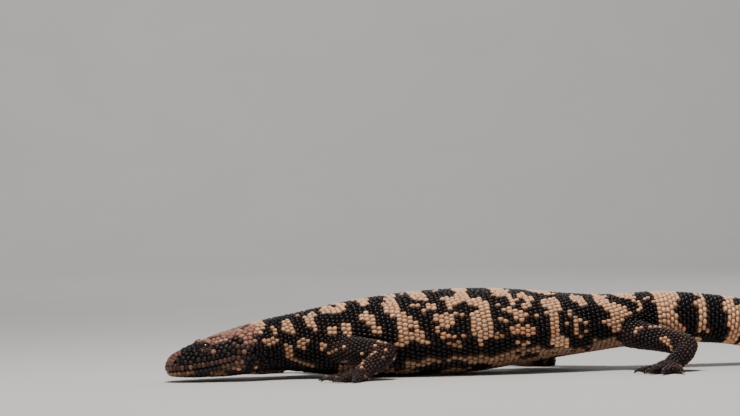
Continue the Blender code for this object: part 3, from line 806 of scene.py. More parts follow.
class Roots:
    """Where scales grow: place, normal, the way the row runs, the spacing, and the kind of scale."""

    def __init__(self):
        self.place = self.normal = self.ahead = np.zeros((0, 3))
        self.step = np.zeros(0)
        self.kind = np.zeros(0, str)

    def add(self, places, normals, ahead, step, kind):
        count = len(places)
        self.place = np.concatenate([self.place, places])
        self.normal = np.concatenate([self.normal, normals])
        self.ahead = np.concatenate([self.ahead, np.broadcast_to(ahead, (count, 3))])
        self.step = np.concatenate([self.step, np.broadcast_to(step, count)])
        self.kind = np.concatenate([self.kind, np.full(count, kind)])

    def keep(self, chosen):
        self.place, self.normal, self.ahead = self.place[chosen], self.normal[chosen], self.ahead[chosen]
        self.step, self.kind = self.step[chosen], self.kind[chosen]


def tree_of(points):
    tree = KDTree(len(points))
    for i, point in enumerate(points.tolist()):
        tree.insert(point, i)
    tree.balance()
    return tree


def nearest(tree, points):
    """Distance to the nearest point of the tree, and which it is."""
    found = [tree.find(p) for p in points.tolist()]
    return np.array([f[2] for f in found]), np.array([f[1] for f in found])


def open_places(points):
    """Places that no scale may cover: the eyes, nostrils, ears and the line of the mouth."""
    bare = (nostril_distance(points) < BARE_NOSTRIL) | (ear_share(points) < BARE_EAR)
    gap, _ = mouth_gap(points)
    bare |= (gap < BARE_MOUTH) & (points[:, 0] < BARE_MOUTH_END)
    for side in (-1, 1):
        ahead, across, out, share = lid_view(points, side)
        bare |= (share < BARE_LIDS) & (out > 0) & (np.hypot(ahead, across) < BARE_LIDS_REACH)
    return bare


def row_table(along):
    """For rows across the body: arc length from the middle of the back, for turns of 0 to 180 degrees."""
    turns = np.linspace(0.0, math.pi, ROW_STATIONS)
    angles = np.tile(math.pi / 2 - turns, len(along))
    points = on_body(np.repeat(along, ROW_STATIONS), angles).reshape(len(along), ROW_STATIONS, 3)
    steps = np.linalg.norm(np.diff(points, axis=1), axis=2)
    return turns, np.concatenate([np.zeros((len(along), 1)), np.cumsum(steps, axis=1)], axis=1)


def row_places():
    """The beads of all rows: distance along, angle round, spacing, and 1 on the belly or else 0."""
    stops = [ROWS_FROM]
    while stops[-1] < ROWS_TO:
        stops.append(stops[-1] + row_steps(stops[-1])[0])
    stops = np.array(stops[:-1])
    turns, arcs = row_table(stops)
    edge = math.radians(90.0 - BELLY_FROM)
    table = []
    for i, (stop, arc) in enumerate(zip(stops, arcs)):
        row_step, step = row_steps(stop)
        first = 0.0 if i % 2 == 0 else 0.5
        reach = np.interp(edge, turns, arc)
        flank = np.interp(np.arange(first, reach / step) * step, arc, turns)
        belly_step = min(BELLY_STEP, step * BELLY_WIDEST)
        room = arc[-1] - reach - belly_step * BELLY_MARGIN
        under = np.arange(first, max(room / belly_step, 0.6)) * belly_step
        under = np.interp(arc[-1] - under, arc, turns)
        for belly, left, right in ((0, flank, flank[flank > 0]), (1, under, under[under < math.pi])):
            for angle in (*(math.pi / 2 - left), *(math.pi / 2 + right)):
                table.append((stop, angle, (step + row_step) / 2, belly))
    return np.array(table).T


def body_roots(roots, skin, random):
    """Rows of beads across neck, trunk and tail, each half a step along from the row before."""
    alongs, angles, steps, on_belly = row_places()
    regular = smooth_step(*TAIL_RINGS_FROM, alongs)
    walks = np.abs(angles - math.pi / 2) / math.pi * 2 * girth(alongs)
    alongs = alongs + ROW_SLANT * (1 - np.exp(-walks / SLANT_REACH)) * (1.0 - regular)
    loose = (1.0 + smooth_step(34.0, 12.0, walks)) * (1.0 - 0.7 * regular)
    alongs = alongs + random.normal(0.0, JITTER_ALONG, len(alongs)) * loose
    angles = angles + random.normal(0.0, JITTER_ROUND, len(angles)) * loose
    places, normals, off = skin.snap(on_body(alongs, angles, -SKIN_DEPTH))
    _, _, _, tangent = body_frame(alongs)
    for belly, name in ((0, "bead"), (1, "belly")):
        chosen = (off < ROW_SNAP) & (on_belly == belly)
        roots.add(places[chosen], normals[chosen], tangent[chosen], steps[chosen], name)


def leg_roots(roots, skin):
    """Rows of small beads round each leg."""
    for leg in LEGS.values():
        for rows, first in zip(leg_stretches(leg), (0.0, 0.5)):
            reach, at, odd = rows[-1, 0], 0.0, False
            while at < reach:
                share = first + at / reach / 2
                step = LEG_STEPS[0] + (LEG_STEPS[1] - LEG_STEPS[0]) * share
                here, ahead = read_rows(rows, (at, min(at + 1.0, reach)))[:, :4]
                tangent = unit(ahead[:3] - here[:3]) if at + 0.5 < reach else tangent
                count = round(2 * math.pi * here[3] / step)
                turns = (np.arange(count) + (0.5 if odd else 0.0)) * (2 * math.pi / count)
                spread = (here[3] - SKIN_DEPTH) * ring(turns, *level_axes(tangent))
                places, normals, off = skin.snap(here[:3] + spread)
                keep = off < LEG_SNAP
                roots.add(places[keep], normals[keep], tangent, step, "leg")
                at += step
                odd = not odd


def toe_roots(roots, skin):
    """A row of plates along the top of each toe."""
    for leg in LEGS.values():
        for toe in TOES[leg["kind"]]:
            root, direction = toe_axes(leg, toe)
            for at in np.arange(0.1 * toe[3], toe[3] - 0.6, TOE_STEP):
                places, normals, _ = skin.snap([root + direction * at + (0, 0, 6.5)])
                roots.add(places, normals, direction, TOE_STEP, "toe")


def lip_contour(skin, offset):
    """A line on the skin just above or below the mouth, found by rays towards the head's middle."""
    middle = np.array(head_place(1, HEAD_MIDDLE, 0.0, 0.0))
    line = np.array(LIPS)
    contour = []
    for bearing in np.radians(np.linspace(-LIP_REACH, LIP_REACH, LIP_RAYS)):
        way = np.array((-math.cos(bearing), math.sin(bearing), 0.0))
        height = LIP_FIRST_HEIGHT
        for _ in range(LIP_PASSES):
            start = middle + way * LIP_RAY_START + (0, 0, height)
            hit = skin.tree.ray_cast(start.tolist(), (-way).tolist())[0]
            height = float(np.interp(hit[0], line[:, 0], line[:, 1])) + offset
        contour.append(tuple(hit))
    return np.array(contour)


def mouth_roots(roots, skin):
    """A row of plates along each lip."""
    for offset in (LIP_OFFSET, -LIP_OFFSET):
        contour = lip_contour(skin, offset)
        walk = np.concatenate([[0.0], np.cumsum(np.linalg.norm(np.diff(contour, axis=0), axis=1))])
        ways = np.linspace(0.0, walk[-1], 2 * round(walk[-1] / LIP_STEP / 2) + 1)
        spots = np.column_stack([np.interp(ways, walk, contour[:, k]) for k in range(3)])
        places, normals, _ = skin.snap(spots)
        roots.add(places, normals, unit(np.gradient(places, axis=0)), LIP_STEP, "lip")


def ring_roots(roots, skin):
    """Rings of small scales round the lids and the nostrils."""
    for side in (-1, 1):
        middle, axes = face_axes(side)
        for reach, count in LID_RINGS:
            turns = round_turns(count)
            wide, high = LID_OPENING[0] + reach, LID_OPENING[1] + reach
            oval = np.column_stack([wide * np.cos(turns), high * np.sin(turns)])
            spots = middle + oval @ axes[:2] + axes[2] * (LID_RADIUS - 0.8 * reach)
            places, normals, _ = skin.snap(spots)
            roots.add(places, normals, (1.0, 0.0, 0.0), 1.3 + 0.2 * reach, "lid")
        nostril = head_place(side, *NOSTRIL)
        _, right, up, tangent = (v[0] for v in body_frame(NOSTRIL[0]))
        out = unit(right * side - tangent * 0.8)
        across = unit(np.cross(out, up))
        for turn in round_turns(NOSTRIL_SCALES):
            spot = nostril + (across * math.cos(turn) + up * math.sin(turn)) * NOSTRIL_RING + out
            places, normals, _ = skin.snap([spot])
            roots.add(places, normals, tangent, NOSTRIL_STEP, "lip")


def fill_steps(points, normals):
    """The spacing of the scales that are strewn: on the head, the feet and wherever rows leave room."""
    x, z = points[:, 0], points[:, 2]
    up = normals[:, 2]
    head = TEMPLE_STEP + (CROWN_STEP - TEMPLE_STEP) * smooth_step(0.45, 0.8, up)
    head += (THROAT_STEP - TEMPLE_STEP) * smooth_step(-0.4, -0.8, up)
    head += (SNOUT_STEP - head) * smooth_step(15.0, 6.0, x)
    head += (NECK_STEP - head) * smooth_step(52.0, 62.0, x)
    head += (LID_STEP - head) * smooth_step(8.5, 6.5, eye_distance(points))
    body = np.where(x > HEAD_END, GAP_STEP, head)
    sideways = np.abs(points[:, 1] - read_rows(SWING, x)[:, 0])
    on_leg = (x > LEGS_SPAN[0]) & (x < LEGS_SPAN[1]) & (sideways > LEGS_OUT)
    foot = on_leg & (z < FOOT_STREWN)
    return np.where(foot, PALM_STEP, np.where(on_leg, LEG_GAP_STEP, body))


def spread_out(points, steps, order):
    """Picks points in the order given, each where none picked before it is too near."""
    grid, chosen = {}, []
    beside = list(itertools.product((-1, 0, 1), repeat=3))
    for i in order:
        point = points[i]
        key = tuple(int(c // CELL) for c in point)
        near = [j for away in beside for j in grid.get(tuple(k + a for k, a in zip(key, away)), ())]
        if near and np.min(np.linalg.norm(points[near] - point, axis=1)) < STREWN_CLEAR * steps[i]:
            continue
        grid.setdefault(key, []).append(i)
        chosen.append(i)
    return chosen


def even_out(spots, placed, ground):
    """Moves each spot to the middle of the ground that is nearer to it than to any other root."""
    for _ in range(EVENING_PASSES):
        _, which = nearest(tree_of(np.concatenate([placed, spots])), ground)
        mine = which >= len(placed)
        owner = which[mine] - len(placed)
        total = np.zeros_like(spots)
        np.add.at(total, owner, ground[mine])
        count = np.bincount(owner, minlength=len(spots))[:, None]
        spots = np.where(count > 0, total / np.maximum(count, 1), spots)
    return spots


def strew(roots, skin, random):
    """Adds scales wherever the rows leave room, then evens them out."""
    points = skin.points
    steps = fill_steps(points, skin.normals)
    closed = ~open_places(points)
    free = closed & (points[:, 2] > FLOOR_CLEAR - 0.1)
    away, which = nearest(tree_of(roots.place), points)
    free &= away > ROW_CLEAR * (roots.step[which] + steps)
    chosen = spread_out(points, steps, random.permutation(np.nonzero(free)[0]))
    places, normals, _ = skin.snap(even_out(points[chosen], roots.place, points[closed]))
    _, which = nearest(tree_of(points), places)
    roots.add(places, normals, (1.0, 0.0, 0.0), steps[which], "plate")


def thin_out(roots):
    """Drops the roots that crowd one placed before them."""
    tree = tree_of(roots.place)
    keep = np.ones(len(roots.place), bool)
    for i, point in enumerate(roots.place.tolist()):
        for _, j, away in tree.find_range(point, CROWD_REACH):
            spacing = min((roots.step[i] + roots.step[j]) / 2, CROWD_STEP)
            if j < i and keep[j] and away < CROWD_SHARE * spacing:
                keep[i] = False
                break
    roots.keep(keep & ~open_places(roots.place))
    roots.ahead = unit(roots.ahead - (roots.ahead * roots.normal).sum(1)[:, None] * roots.normal)


def make_roots(skin, random):
    """Where every scale grows: first the rows, then wherever they leave room."""
    roots = Roots()
    mouth_roots(roots, skin)
    ring_roots(roots, skin)
    toe_roots(roots, skin)
    body_roots(roots, skin, random)
    leg_roots(roots, skin)
    thin_out(roots)
    strew(roots, skin, random)
    thin_out(roots)
    return roots


def neighbours(roots):
    """The scales nearest to each scale, nearest first."""
    tree = tree_of(roots.place)
    return np.array([[f[1] for f in tree.find_n(p, NEIGHBOURS + 1)][1:] for p in roots.place.tolist()])


def outlines(roots, near, random):
    """How far each scale reaches in each direction round its root: half way to the scales beside it."""
    place, normal, ahead, step = roots.place, roots.normal, roots.ahead, roots.step
    across = np.cross(normal, ahead)
    to = place[near] - place[:, None]
    x, y = (to * ahead[:, None]).sum(2), (to * across[:, None]).sum(2)
    share = step[:, None] / (step[:, None] + step[near])
    reach = np.linalg.norm(to, axis=2) * share
    turns = round_turns(SCALE_SIDES)
    facing = np.cos(turns[None, :, None] - np.arctan2(y, x)[:, None, :])
    pull = (np.maximum(facing, 0.0) / reach[:, None, :]) ** OUTLINE_ROUNDNESS
    limit = (FREE_REACH * step[:, None]) ** -OUTLINE_ROUNDNESS
    ringed = smooth_step(*RINGED_FROM, place[:, 0]) * (roots.kind == "bead")
    row = RING_REACH * row_steps(place[:, 0])[0] / np.maximum(ringed, 0.3)
    limit = limit + (np.abs(np.cos(turns)) / row[:, None]) ** OUTLINE_ROUNDNESS
    radius = (pull.sum(2) + limit) ** (-1 / OUTLINE_ROUNDNESS)
    radius = radius * (1.0 + RING_OVERLAP * ringed[:, None] * np.sin(turns) ** 2)
    radius = radius * random.uniform(*OUTLINE_RANGE, radius.shape)
    return np.maximum(radius, LEAST_REACH), across


# Colours of the hide.
CREAM = (0.88, 0.53, 0.33)
SALMON = (0.78, 0.41, 0.235)
ORANGE = (0.58, 0.27, 0.14)
PINK = (0.46, 0.225, 0.18)
TAN = (0.46, 0.25, 0.13)
BLACK = (0.0065, 0.0038, 0.0050)
SLATE = (0.020, 0.016, 0.016)
UMBER = (0.12, 0.060, 0.047)
RUST = (0.055, 0.018, 0.009)
LEG_DARK = (0.026, 0.0155, 0.018)

# The outlines of the pale blotches on the left side, in pixels of the photograph.
PINK_BLOTCHES = {
    "crown": (
        (200, 341.5), (206, 338), (220, 331), (232, 327), (246, 324), (249, 331), (247, 338), (240, 338.5),
        (232, 338.5), (228, 339.5), (225, 341), (219.5, 340.5), (216.5, 342), (215, 345), (211, 345.5),
        (207.5, 343.5),
    ),
    "nape_low": ((240, 336), (250, 336), (257, 341), (250, 345), (242, 344)),
}
PALE_BLOTCHES = {
    "nape_front": (
        (251.5, 324), (257, 321), (264, 321), (267.5, 324), (265, 329), (261, 332), (258.5, 338), (256, 338),
        (256, 330), (252, 327),
    ),
    "nape_top": ((264, 319.5), (270.5, 316), (271, 319.5), (266, 321)),
    "nape_hook": (
        (271, 326.5), (275, 327), (277, 332), (276, 337), (278, 342), (274, 346), (268, 344.5), (263.5, 342),
        (265, 338), (271, 337), (272, 333),
    ),
    "neck_side": (
        (279, 325), (283, 321), (288, 319), (290, 323), (295, 325), (296, 333), (293, 336), (289, 334),
        (285, 334), (281, 330),
    ),
    "neck_top": ((281, 315), (285, 312), (291, 311.5), (291, 315.5), (285, 316.5)),
    "shoulder_front": (
        (303, 318), (308, 314), (313, 311.5), (316, 314.5), (315, 319), (317, 326), (319, 330), (316, 333),
        (312, 331), (311, 328), (305, 324),
    ),
    "shoulder_arc": (
        (326.5, 331), (329, 327.5), (335, 328), (337.5, 332), (339.5, 338), (337, 341), (334.5, 336),
        (331, 334.5), (327.5, 333.5),
    ),
    "shoulder_back": (
        (339.5, 329), (343, 324.5), (347.5, 322), (350, 324), (350.5, 332), (351, 337), (347, 338),
        (344, 333),
    ),
    "shoulder_top": (
        (319, 311), (326, 306), (333, 302.5), (340, 301.5), (345.5, 301.5), (346.5, 307), (343, 311),
        (338, 313.5), (330, 313.5), (322, 313),
    ),
    "elbow_spot": ((300, 338), (305, 336), (309, 341), (307, 347), (303, 351.5), (299, 349), (297, 343)),
    "throat_spot": ((284, 346), (288, 343.5), (292, 347), (294, 352), (291, 357), (287, 359), (285, 354)),
    "arm_spot": ((320, 344), (325, 344), (325, 349), (320, 349)),
    "arm_dash": ((328, 349), (332, 349), (332, 354), (328, 354)),
    "flank_dash": ((338, 354), (350, 354), (350, 358), (338, 358)),
    "back_dash": ((355.5, 300), (362, 299), (367, 298), (369.5, 303), (366, 306), (360, 305.5)),
    "flank_slope": (
        (360, 316), (363, 311.5), (367.5, 309.5), (371, 314), (375.5, 319.5), (377.5, 324), (381, 329),
        (383, 333), (379, 336), (375, 333), (372, 329), (367.5, 327), (363.5, 323),
    ),
    "flank_branch": (
        (380.5, 309), (383.5, 303), (384.5, 298), (388, 295), (393, 294.5), (397.5, 301), (398, 307),
        (404, 311), (410, 316), (416, 319), (419, 324), (421, 330), (425, 332), (426, 340), (428, 343),
        (425, 346), (421, 345), (419, 341), (414, 341), (410, 342), (407, 345), (402, 347), (397, 349),
        (395, 345), (400, 341), (399, 335), (398, 331), (396.5, 327), (399, 323), (397, 320), (390, 314.5),
        (385, 312.5),
    ),
    "back_patch": (
        (405.5, 292.5), (411, 289.3), (421, 289), (424, 293.5), (429.5, 296.5), (427, 300), (420, 300.5),
        (413, 298.5), (409, 295),
    ),
    "flank_dash_top": ((409.5, 304), (413, 304.5), (417.5, 305), (417, 307.5), (413, 306.5)),
    "flank_button": (
        (423.5, 305.5), (427, 302), (432, 303), (436, 306), (434, 310), (429, 310), (426, 307.5),
    ),
    "flank_island": (
        (429.5, 314.5), (433, 315), (438, 312.5), (446, 313), (453, 315.5), (457, 319.5), (455, 324),
        (450, 328.5), (444, 328), (438, 324.5), (434, 321), (431.5, 318.5),
    ),
    "flank_hook": (
        (441, 297), (445.7, 295.7), (452, 296.4), (454.3, 293.6), (452, 290), (452, 287.5), (462, 287.3),
        (473, 287.5), (467, 290.5), (462, 291.3), (466, 293.5), (472, 296), (477, 297.5), (481, 298.5),
        (486, 302), (493, 313.5), (493, 320), (492, 333.5), (488.5, 340.7), (481.5, 345), (478, 344),
        (478, 340), (473, 334), (472, 325.7), (470.7, 315.7), (473.5, 311.4), (477, 308), (475.7, 304.3),
        (473, 301.8), (468.5, 301), (460, 302), (456.4, 303.6), (453, 307), (449, 309.3), (445.4, 307),
        (444, 300.7),
    ),
    "loin_top": (
        (488, 288.5), (492, 287.3), (512, 287.5), (507, 291), (509, 294), (511, 297), (506, 297.5),
        (498, 295.5), (493, 294.5), (490, 292),
    ),
    "loin_button": (
        (509, 300), (511, 297.5), (515, 298), (518, 301), (517.5, 304), (514, 305), (510.5, 303),
    ),
    "loin_comma": (
        (518, 295), (521, 291.5), (524, 294.5), (529, 295.5), (535, 299.5), (532, 302.5), (528, 305),
        (530, 307), (526.5, 309), (523, 306), (526, 301.5), (521.5, 298.5), (519, 298),
    ),
    "loin_island": (
        (506, 306.5), (510, 306), (514, 308.5), (522, 309.5), (526, 312.5), (529.5, 313.5), (530, 315.5),
        (526, 317), (523, 320), (519, 319), (514, 317.5), (510.5, 314.5), (509.5, 311.5), (506.5, 309.5),
    ),
    "loin_low": (
        (517.5, 342), (521, 340.5), (526, 341.5), (531, 341.5), (531, 344), (525, 344.5), (520, 346),
    ),
    "hip_top": (
        (529, 289), (540, 289), (550, 290), (556, 293), (552, 294.8), (545, 294.3), (536, 293), (531, 293),
    ),
    "hip_column": (
        (540, 303.5), (541.5, 299.5), (545, 298), (557, 298), (559.5, 300), (559.8, 304), (561.5, 308),
        (559.5, 312.5), (561, 316.5), (558.5, 321), (559, 328), (558, 332), (552, 333.5), (549, 331),
        (548.5, 325), (548, 318), (545.5, 313), (547, 308.5), (543, 306),
    ),
    "hip_slope": (
        (569, 298), (572, 295.5), (578, 295.7), (582, 297.5), (587, 302), (588.5, 304.5), (586, 308.5),
        (583.5, 308), (578, 304.5), (573, 300.5),
    ),
    "hip_button": (
        (571.5, 320.5), (574, 316.5), (578.5, 318), (583, 321.5), (580.5, 325), (581, 330), (577, 334),
        (572, 333), (573.5, 329), (572, 325),
    ),
    "hip_sliver": ((585.5, 321), (588, 322), (590.5, 328), (590, 331.5), (588, 330), (586.5, 325)),
    "thigh_hook": (
        (592, 296), (597, 295.5), (606, 296.5), (607.5, 299.5), (611.5, 301.5), (616, 305), (621, 304.5),
        (626, 307), (631, 311), (631, 315.5), (627, 318), (623, 321), (620.5, 325), (619, 331), (616, 333),
        (613.5, 330), (611, 325), (606, 325), (603, 321.5), (607, 318.5), (613, 315.5), (609.5, 313),
        (606, 311.5), (603, 307), (599, 304.5), (595.5, 300),
    ),
    "thigh_arc": (
        (615.5, 295), (621, 293.5), (627, 294), (634, 293.5), (636, 296), (633, 298), (638, 300.5),
        (641, 306), (641, 313), (638.5, 314), (638.5, 308), (635, 302), (630, 299.5), (625, 298), (619, 297),
    ),
    "tail_band_1": (
        (651.5, 291), (665, 291), (678.5, 291), (678, 298), (675.5, 299), (675.8, 309), (677.5, 316),
        (680, 319), (681.5, 323), (684, 325), (685, 333.5), (681, 334.5), (675.5, 335.5), (670, 333.5),
        (667, 329), (662, 328), (658.5, 325), (659, 318), (658, 308), (656, 302), (653, 297),
    ),
    "tail_band_2": (
        (725, 290), (723.5, 303), (725.5, 310), (728, 320), (729, 330), (729, 360), (752, 360), (750, 330),
        (747, 312), (746, 290),
    ),
}
BRIGHT_BLOTCHES = {
    "hip_foot": (
        (550.5, 339), (557, 338), (562, 335.5), (568, 338), (570, 341), (569.5, 347), (563, 346.5),
        (556, 345), (550.5, 344.5),
    ),
}
ORANGE_BLOTCHES = {
    "elbow_peach": ((290, 366), (296, 366), (296, 373), (290, 373)),
    "flank_speckles": (
        (434.5, 328.5), (438, 328), (443, 331), (447, 333.5), (451, 333), (455, 335.5), (459, 338),
        (457, 340), (452, 339), (447, 340), (442, 339), (439, 333.5),
    ),
    "loin_stripe": (
        (510, 327.5), (514, 327), (515.5, 324), (519, 324), (521, 327), (528, 325), (531, 326.5), (536, 330),
        (540, 334), (536, 336.5), (530, 335.5), (523, 334.5), (516, 335), (513, 333),
    ),
    "hip_join": ((549, 331), (560, 331), (558, 338), (550, 339)),
}
DARK_SPOTS = {
    "shoulder": ((330, 305), (337, 305), (337, 308), (330, 308)),
    "flank": ((409, 331), (413, 327.5), (415, 329), (413, 333.5), (410, 334)),
    "tail": ((733, 299), (741, 299), (741, 306), (733, 306)),
}
# The brown top of the snout, and the black patch between snout and eye.
SNOUT_TOP = (
    (156, 376), (160, 362), (168, 351), (180, 342), (196, 335), (201, 339.5), (198, 343.5), (191, 347),
    (184, 351), (178, 357), (173, 363), (169, 374),
)
SNOUT_PATCH = ((183, 350), (190, 346), (200, 343), (201, 352), (196, 358), (184, 359), (180, 355))
# Single scales, in pixels of the photograph: on head and crown, and pale ones on the body and legs.
HEAD_DOTS = ((242.5, 353.5), (241, 364), (231, 367), (191.5, 367), (202, 349.5), (212, 353))
CROWN_DOTS = ((213, 337.5), (220.5, 338), (243, 330), (247, 325), (234, 337))
BODY_DOTS = (
    (297.5, 317), (403.5, 295.2), (424.7, 312.8), (504.3, 311.4), (506.8, 321.4), (501.4, 318.6),
    (495.4, 305.1), (493, 295.4), (456.8, 313.2), (462.5, 315.7), (447.5, 313.6), (469, 304.3),
    (465.7, 334), (434, 291.8), (584.6, 333), (580, 338), (568.2, 313.6), (571.4, 310.7), (574.6, 317.5),
    (531.4, 306.8), (536.8, 315), (566.8, 325), (643.5, 298.5), (647.3, 296.8), (654.5, 302.5),
    (696.5, 300.5), (416, 306), (411, 304.5), (437.5, 290.5), (709.5, 329),
)
FAINT_DOTS = ((496, 334), (497, 339), (501, 336.5), (448, 344), (453, 346), (458, 343), (462, 347))
LEG_DOTS = (
    (636, 327), (641.5, 326.5), (650.5, 327), (654.5, 327), (658, 325), (634.5, 332), (664.5, 337),
    (670, 345), (671, 349), (673, 347), (661, 337), (664, 341), (667, 338), (669, 342), (343.6, 347.5),
    (374.3, 345.4), (378, 343), (387.5, 341.4), (385.7, 348.6), (362, 354.3), (365, 359.3),
    (361.8, 363.2), (362, 367.5), (372, 354.6), (375.7, 353.6), (375, 373), (398.6, 356.8), (394.6, 359.3),
)
DOT_REACH = 4.0
# The right side's dark crown dots stand this many pixels nearer the snout than the left side's.
CROWN_DOT_SHIFT = 7.0
# The tail's rings beyond the photograph's edge: where each pale ring starts and ends.
TAIL_RINGS = ((398.0, 413.0), (431.0, 444.0))
TAIL_DOT_ROWS = (354.8, 357.6, 388.0, 390.8, 421.0)
# The back is read a little below its edge in the photograph, and the tail's underside from its flank.
BACK_READ = math.radians(13.0)
TAIL_READ = math.radians(118.0)
BELLY_TURN = math.radians(118.0)
# Places along the body: where the tail starts, where the photograph cuts it off, and its speckled tip.
TAIL_FROM, PHOTO_END, TIP_FROM, TIP_SPECKLE = SNOUT_TO_VENT - 4.0, 385.0, 456.0, 0.12
# The tail's dotted rows: how far a dot may lie from its row, and where the denser rows end.
TAIL_DOT_REACH, DENSE_DOTS_END = 1.4, 370.0
CHEST_END = 128.0
# The belly's tone is multiplied by this, darker and cooler: painted shade on the underside.
BELLY_PAINTED_SHADE = (0.55, 0.58, 0.66)
# The legs: how dark their strewn pale beads are, and how high up their soles' brown reaches.
STREWN_SHADE, SOLE_TOP = (0.34, 0.36, 0.40), 1.2
# A tone counts as pale when its strongest part passes this.
PALE_TONE = 0.2


def camera_axes():
    """The camera's place, and its directions ahead, to its right and up."""
    azimuth, roll = math.radians(CAMERA["azimuth"]), math.radians(CAMERA["roll"])
    target = np.array(CAMERA_TARGET)
    place = target + np.array((math.sin(azimuth), -math.cos(azimuth), 0.0)) * CAMERA["distance"]
    place[2] = CAMERA["height"]
    ahead = unit(target - place)
    right, up = level_axes(ahead)
    c, s = math.cos(roll), math.sin(roll)
    return place, ahead, right * c + up * s, up * c - right * s


def photo_places(points):
    """Where the photograph shows places of the model, in its pixels."""
    place, ahead, right, up = camera_axes()
    away = points + ORIGIN - place
    scale = CAMERA["lens"] / SENSOR * PHOTO_WIDTH / (away @ ahead)
    return PHOTO_WIDTH / 2 + (away @ right) * scale, PHOTO_HEIGHT / 2 - (away @ up) * scale


def inside(x, y, outline):
    """Which pixels lie inside an outline."""
    found = np.zeros(len(x), bool)
    for (ax, ay), (bx, by) in zip(outline, outline[1:] + outline[:1]):
        crosses = (ay > y) != (by > y)
        if ay != by:
            found ^= crosses & (x < ax + (y - ay) * (bx - ax) / (by - ay))
    return found


def inside_any(x, y, outlines_by_name):
    return np.any([inside(x, y, outline) for outline in outlines_by_name.values()], axis=0)


def at_dots(x, y, dots, groups):
    """The one scale nearest to each dot, from each group of scales."""
    found = np.zeros(len(x), bool)
    for dot_x, dot_y in dots:
        away = np.hypot(x - dot_x, y - dot_y)
        for group in groups:
            nearest_one = np.argmin(np.where(group, away, np.inf))
            found[nearest_one] |= group[nearest_one] & (away[nearest_one] < DOT_REACH)
    return found


def noise_at(points, size, shift=0.0):
    """Smooth noise from -1 to 1 with features of a given size in millimetres."""
    offset = Vector((shift, shift, shift))
    return np.array([noise.noise(Vector(p) / size + offset) for p in points.tolist()])


def blend(a, b, share):
    """From colour a to colour b, by a share that is kept from 0 to 1."""
    share = np.clip(share, 0.0, 1.0)[:, None]
    return np.asarray(a) * (1 - share) + np.asarray(b) * share


def over(colour, where, tone):
    """A colour, with another tone wherever a mark lies over it."""
    return np.where(where[:, None], tone, colour)


# How finely a leg's path is looked up, how far off the body its skin starts, and how near to it it stays.
LEG_PLACES, LEG_LIFT, LEG_NEAR = 40, 0.7, 4.0
# What counts as a foot: behind its heel, up from the floor, away from its heel, and out from the body.
FOOT_BACK, FOOT_TOP, FOOT_REACH, FOOT_OUT = -4.0, 10.5, 34.0, 36.0


def leg_parts(points):
    """Which leg a place belongs to, or -1 on the body, and how far along the leg it is."""
    _, _, height = body_place(points)
    best, which, walk = np.full(len(points), 1e9), np.full(len(points), -1), np.zeros(len(points))
    for k, leg in enumerate(LEGS.values()):
        rows = path_rows(leg["path"])
        length = rows[-1, 0]
        for at in np.linspace(0.0, length, LEG_PLACES):
            *middle, radius = (np.interp(at, rows[:, 0], rows[:, c]) for c in range(1, 5))
            away = np.linalg.norm(points - middle, axis=1) - radius
            closer = away < best
            best = np.where(closer, away, best)
            which = np.where(closer, k, which)
            walk = np.where(closer, at, walk)
        heel, forward, _, _ = foot_axes(leg)
        past_heel = (points - heel) @ forward
        on_foot = (past_heel > FOOT_BACK) & (points[:, 2] < FOOT_TOP) & (np.abs(points[:, 1]) > FOOT_OUT)
        on_foot &= np.linalg.norm(points[:, :2] - heel[:2], axis=1) < FOOT_REACH
        which = np.where(on_foot, k, which)
        best = np.where(on_foot, -1.0, best)
        walk = np.where(on_foot, length + past_heel, walk)
    return np.where((height > LEG_LIFT) & (best < LEG_NEAR), which, -1), walk


def warped(along, turn, side):
    """Where the left side is read for a place of the right one, so that the two sides differ."""
    grown = smooth_step(-0.2, 0.75, turn * side) * smooth_step(58.0, 85.0, along)
    grown = grown * smooth_step(400.0, 330.0, along)
    drift = 10.0 + 6.0 * np.sin(along / 23.0 + 2.0) + 4.0 * np.sin(along / 8.0 + 4.0 * turn)
    along = along + grown * drift
    return along, turn * (1.0 + 0.16 * grown * np.sin(along / 13.0))


def belly_marks(points, along, speckle):
    """The colours of the belly's plates, tan darkened and cooled as painted shade, with dark patches, and
    where those patches are.
    """
    patches = noise_at(points * (0.55, 1.0, 1.0), 11.0, 3.0) + 0.35 * noise_at(points, 5.0, 7.0)
    dark_patch = patches > np.where(along < CHEST_END, -0.24, 0.16)
    belly = blend(TAN, SALMON, 0.3 + 0.4 * speckle) * BELLY_PAINTED_SHADE
    return over(belly, dark_patch, np.array(BLACK) * 1.6), dark_patch


def past_photo(points, along, speckle, cloud):
    """Where the tail is pale: its rings and tip beyond the photograph's edge, and the dotted rows."""
    rings = np.any([(along > a + 2 * cloud) & (along < b + 2 * cloud) for a, b in TAIL_RINGS], axis=0)
    tip = (along > TIP_FROM) & (speckle > TIP_SPECKLE)
    dotted = np.any([np.abs(along - a) < TAIL_DOT_REACH for a in TAIL_DOT_ROWS], axis=0)
    dotted &= noise_at(points, 5.0, 9.0) > np.where(along < DENSE_DOTS_END, -0.22, 0.02)
    return (along > PHOTO_END) & (rings | tip) | dotted


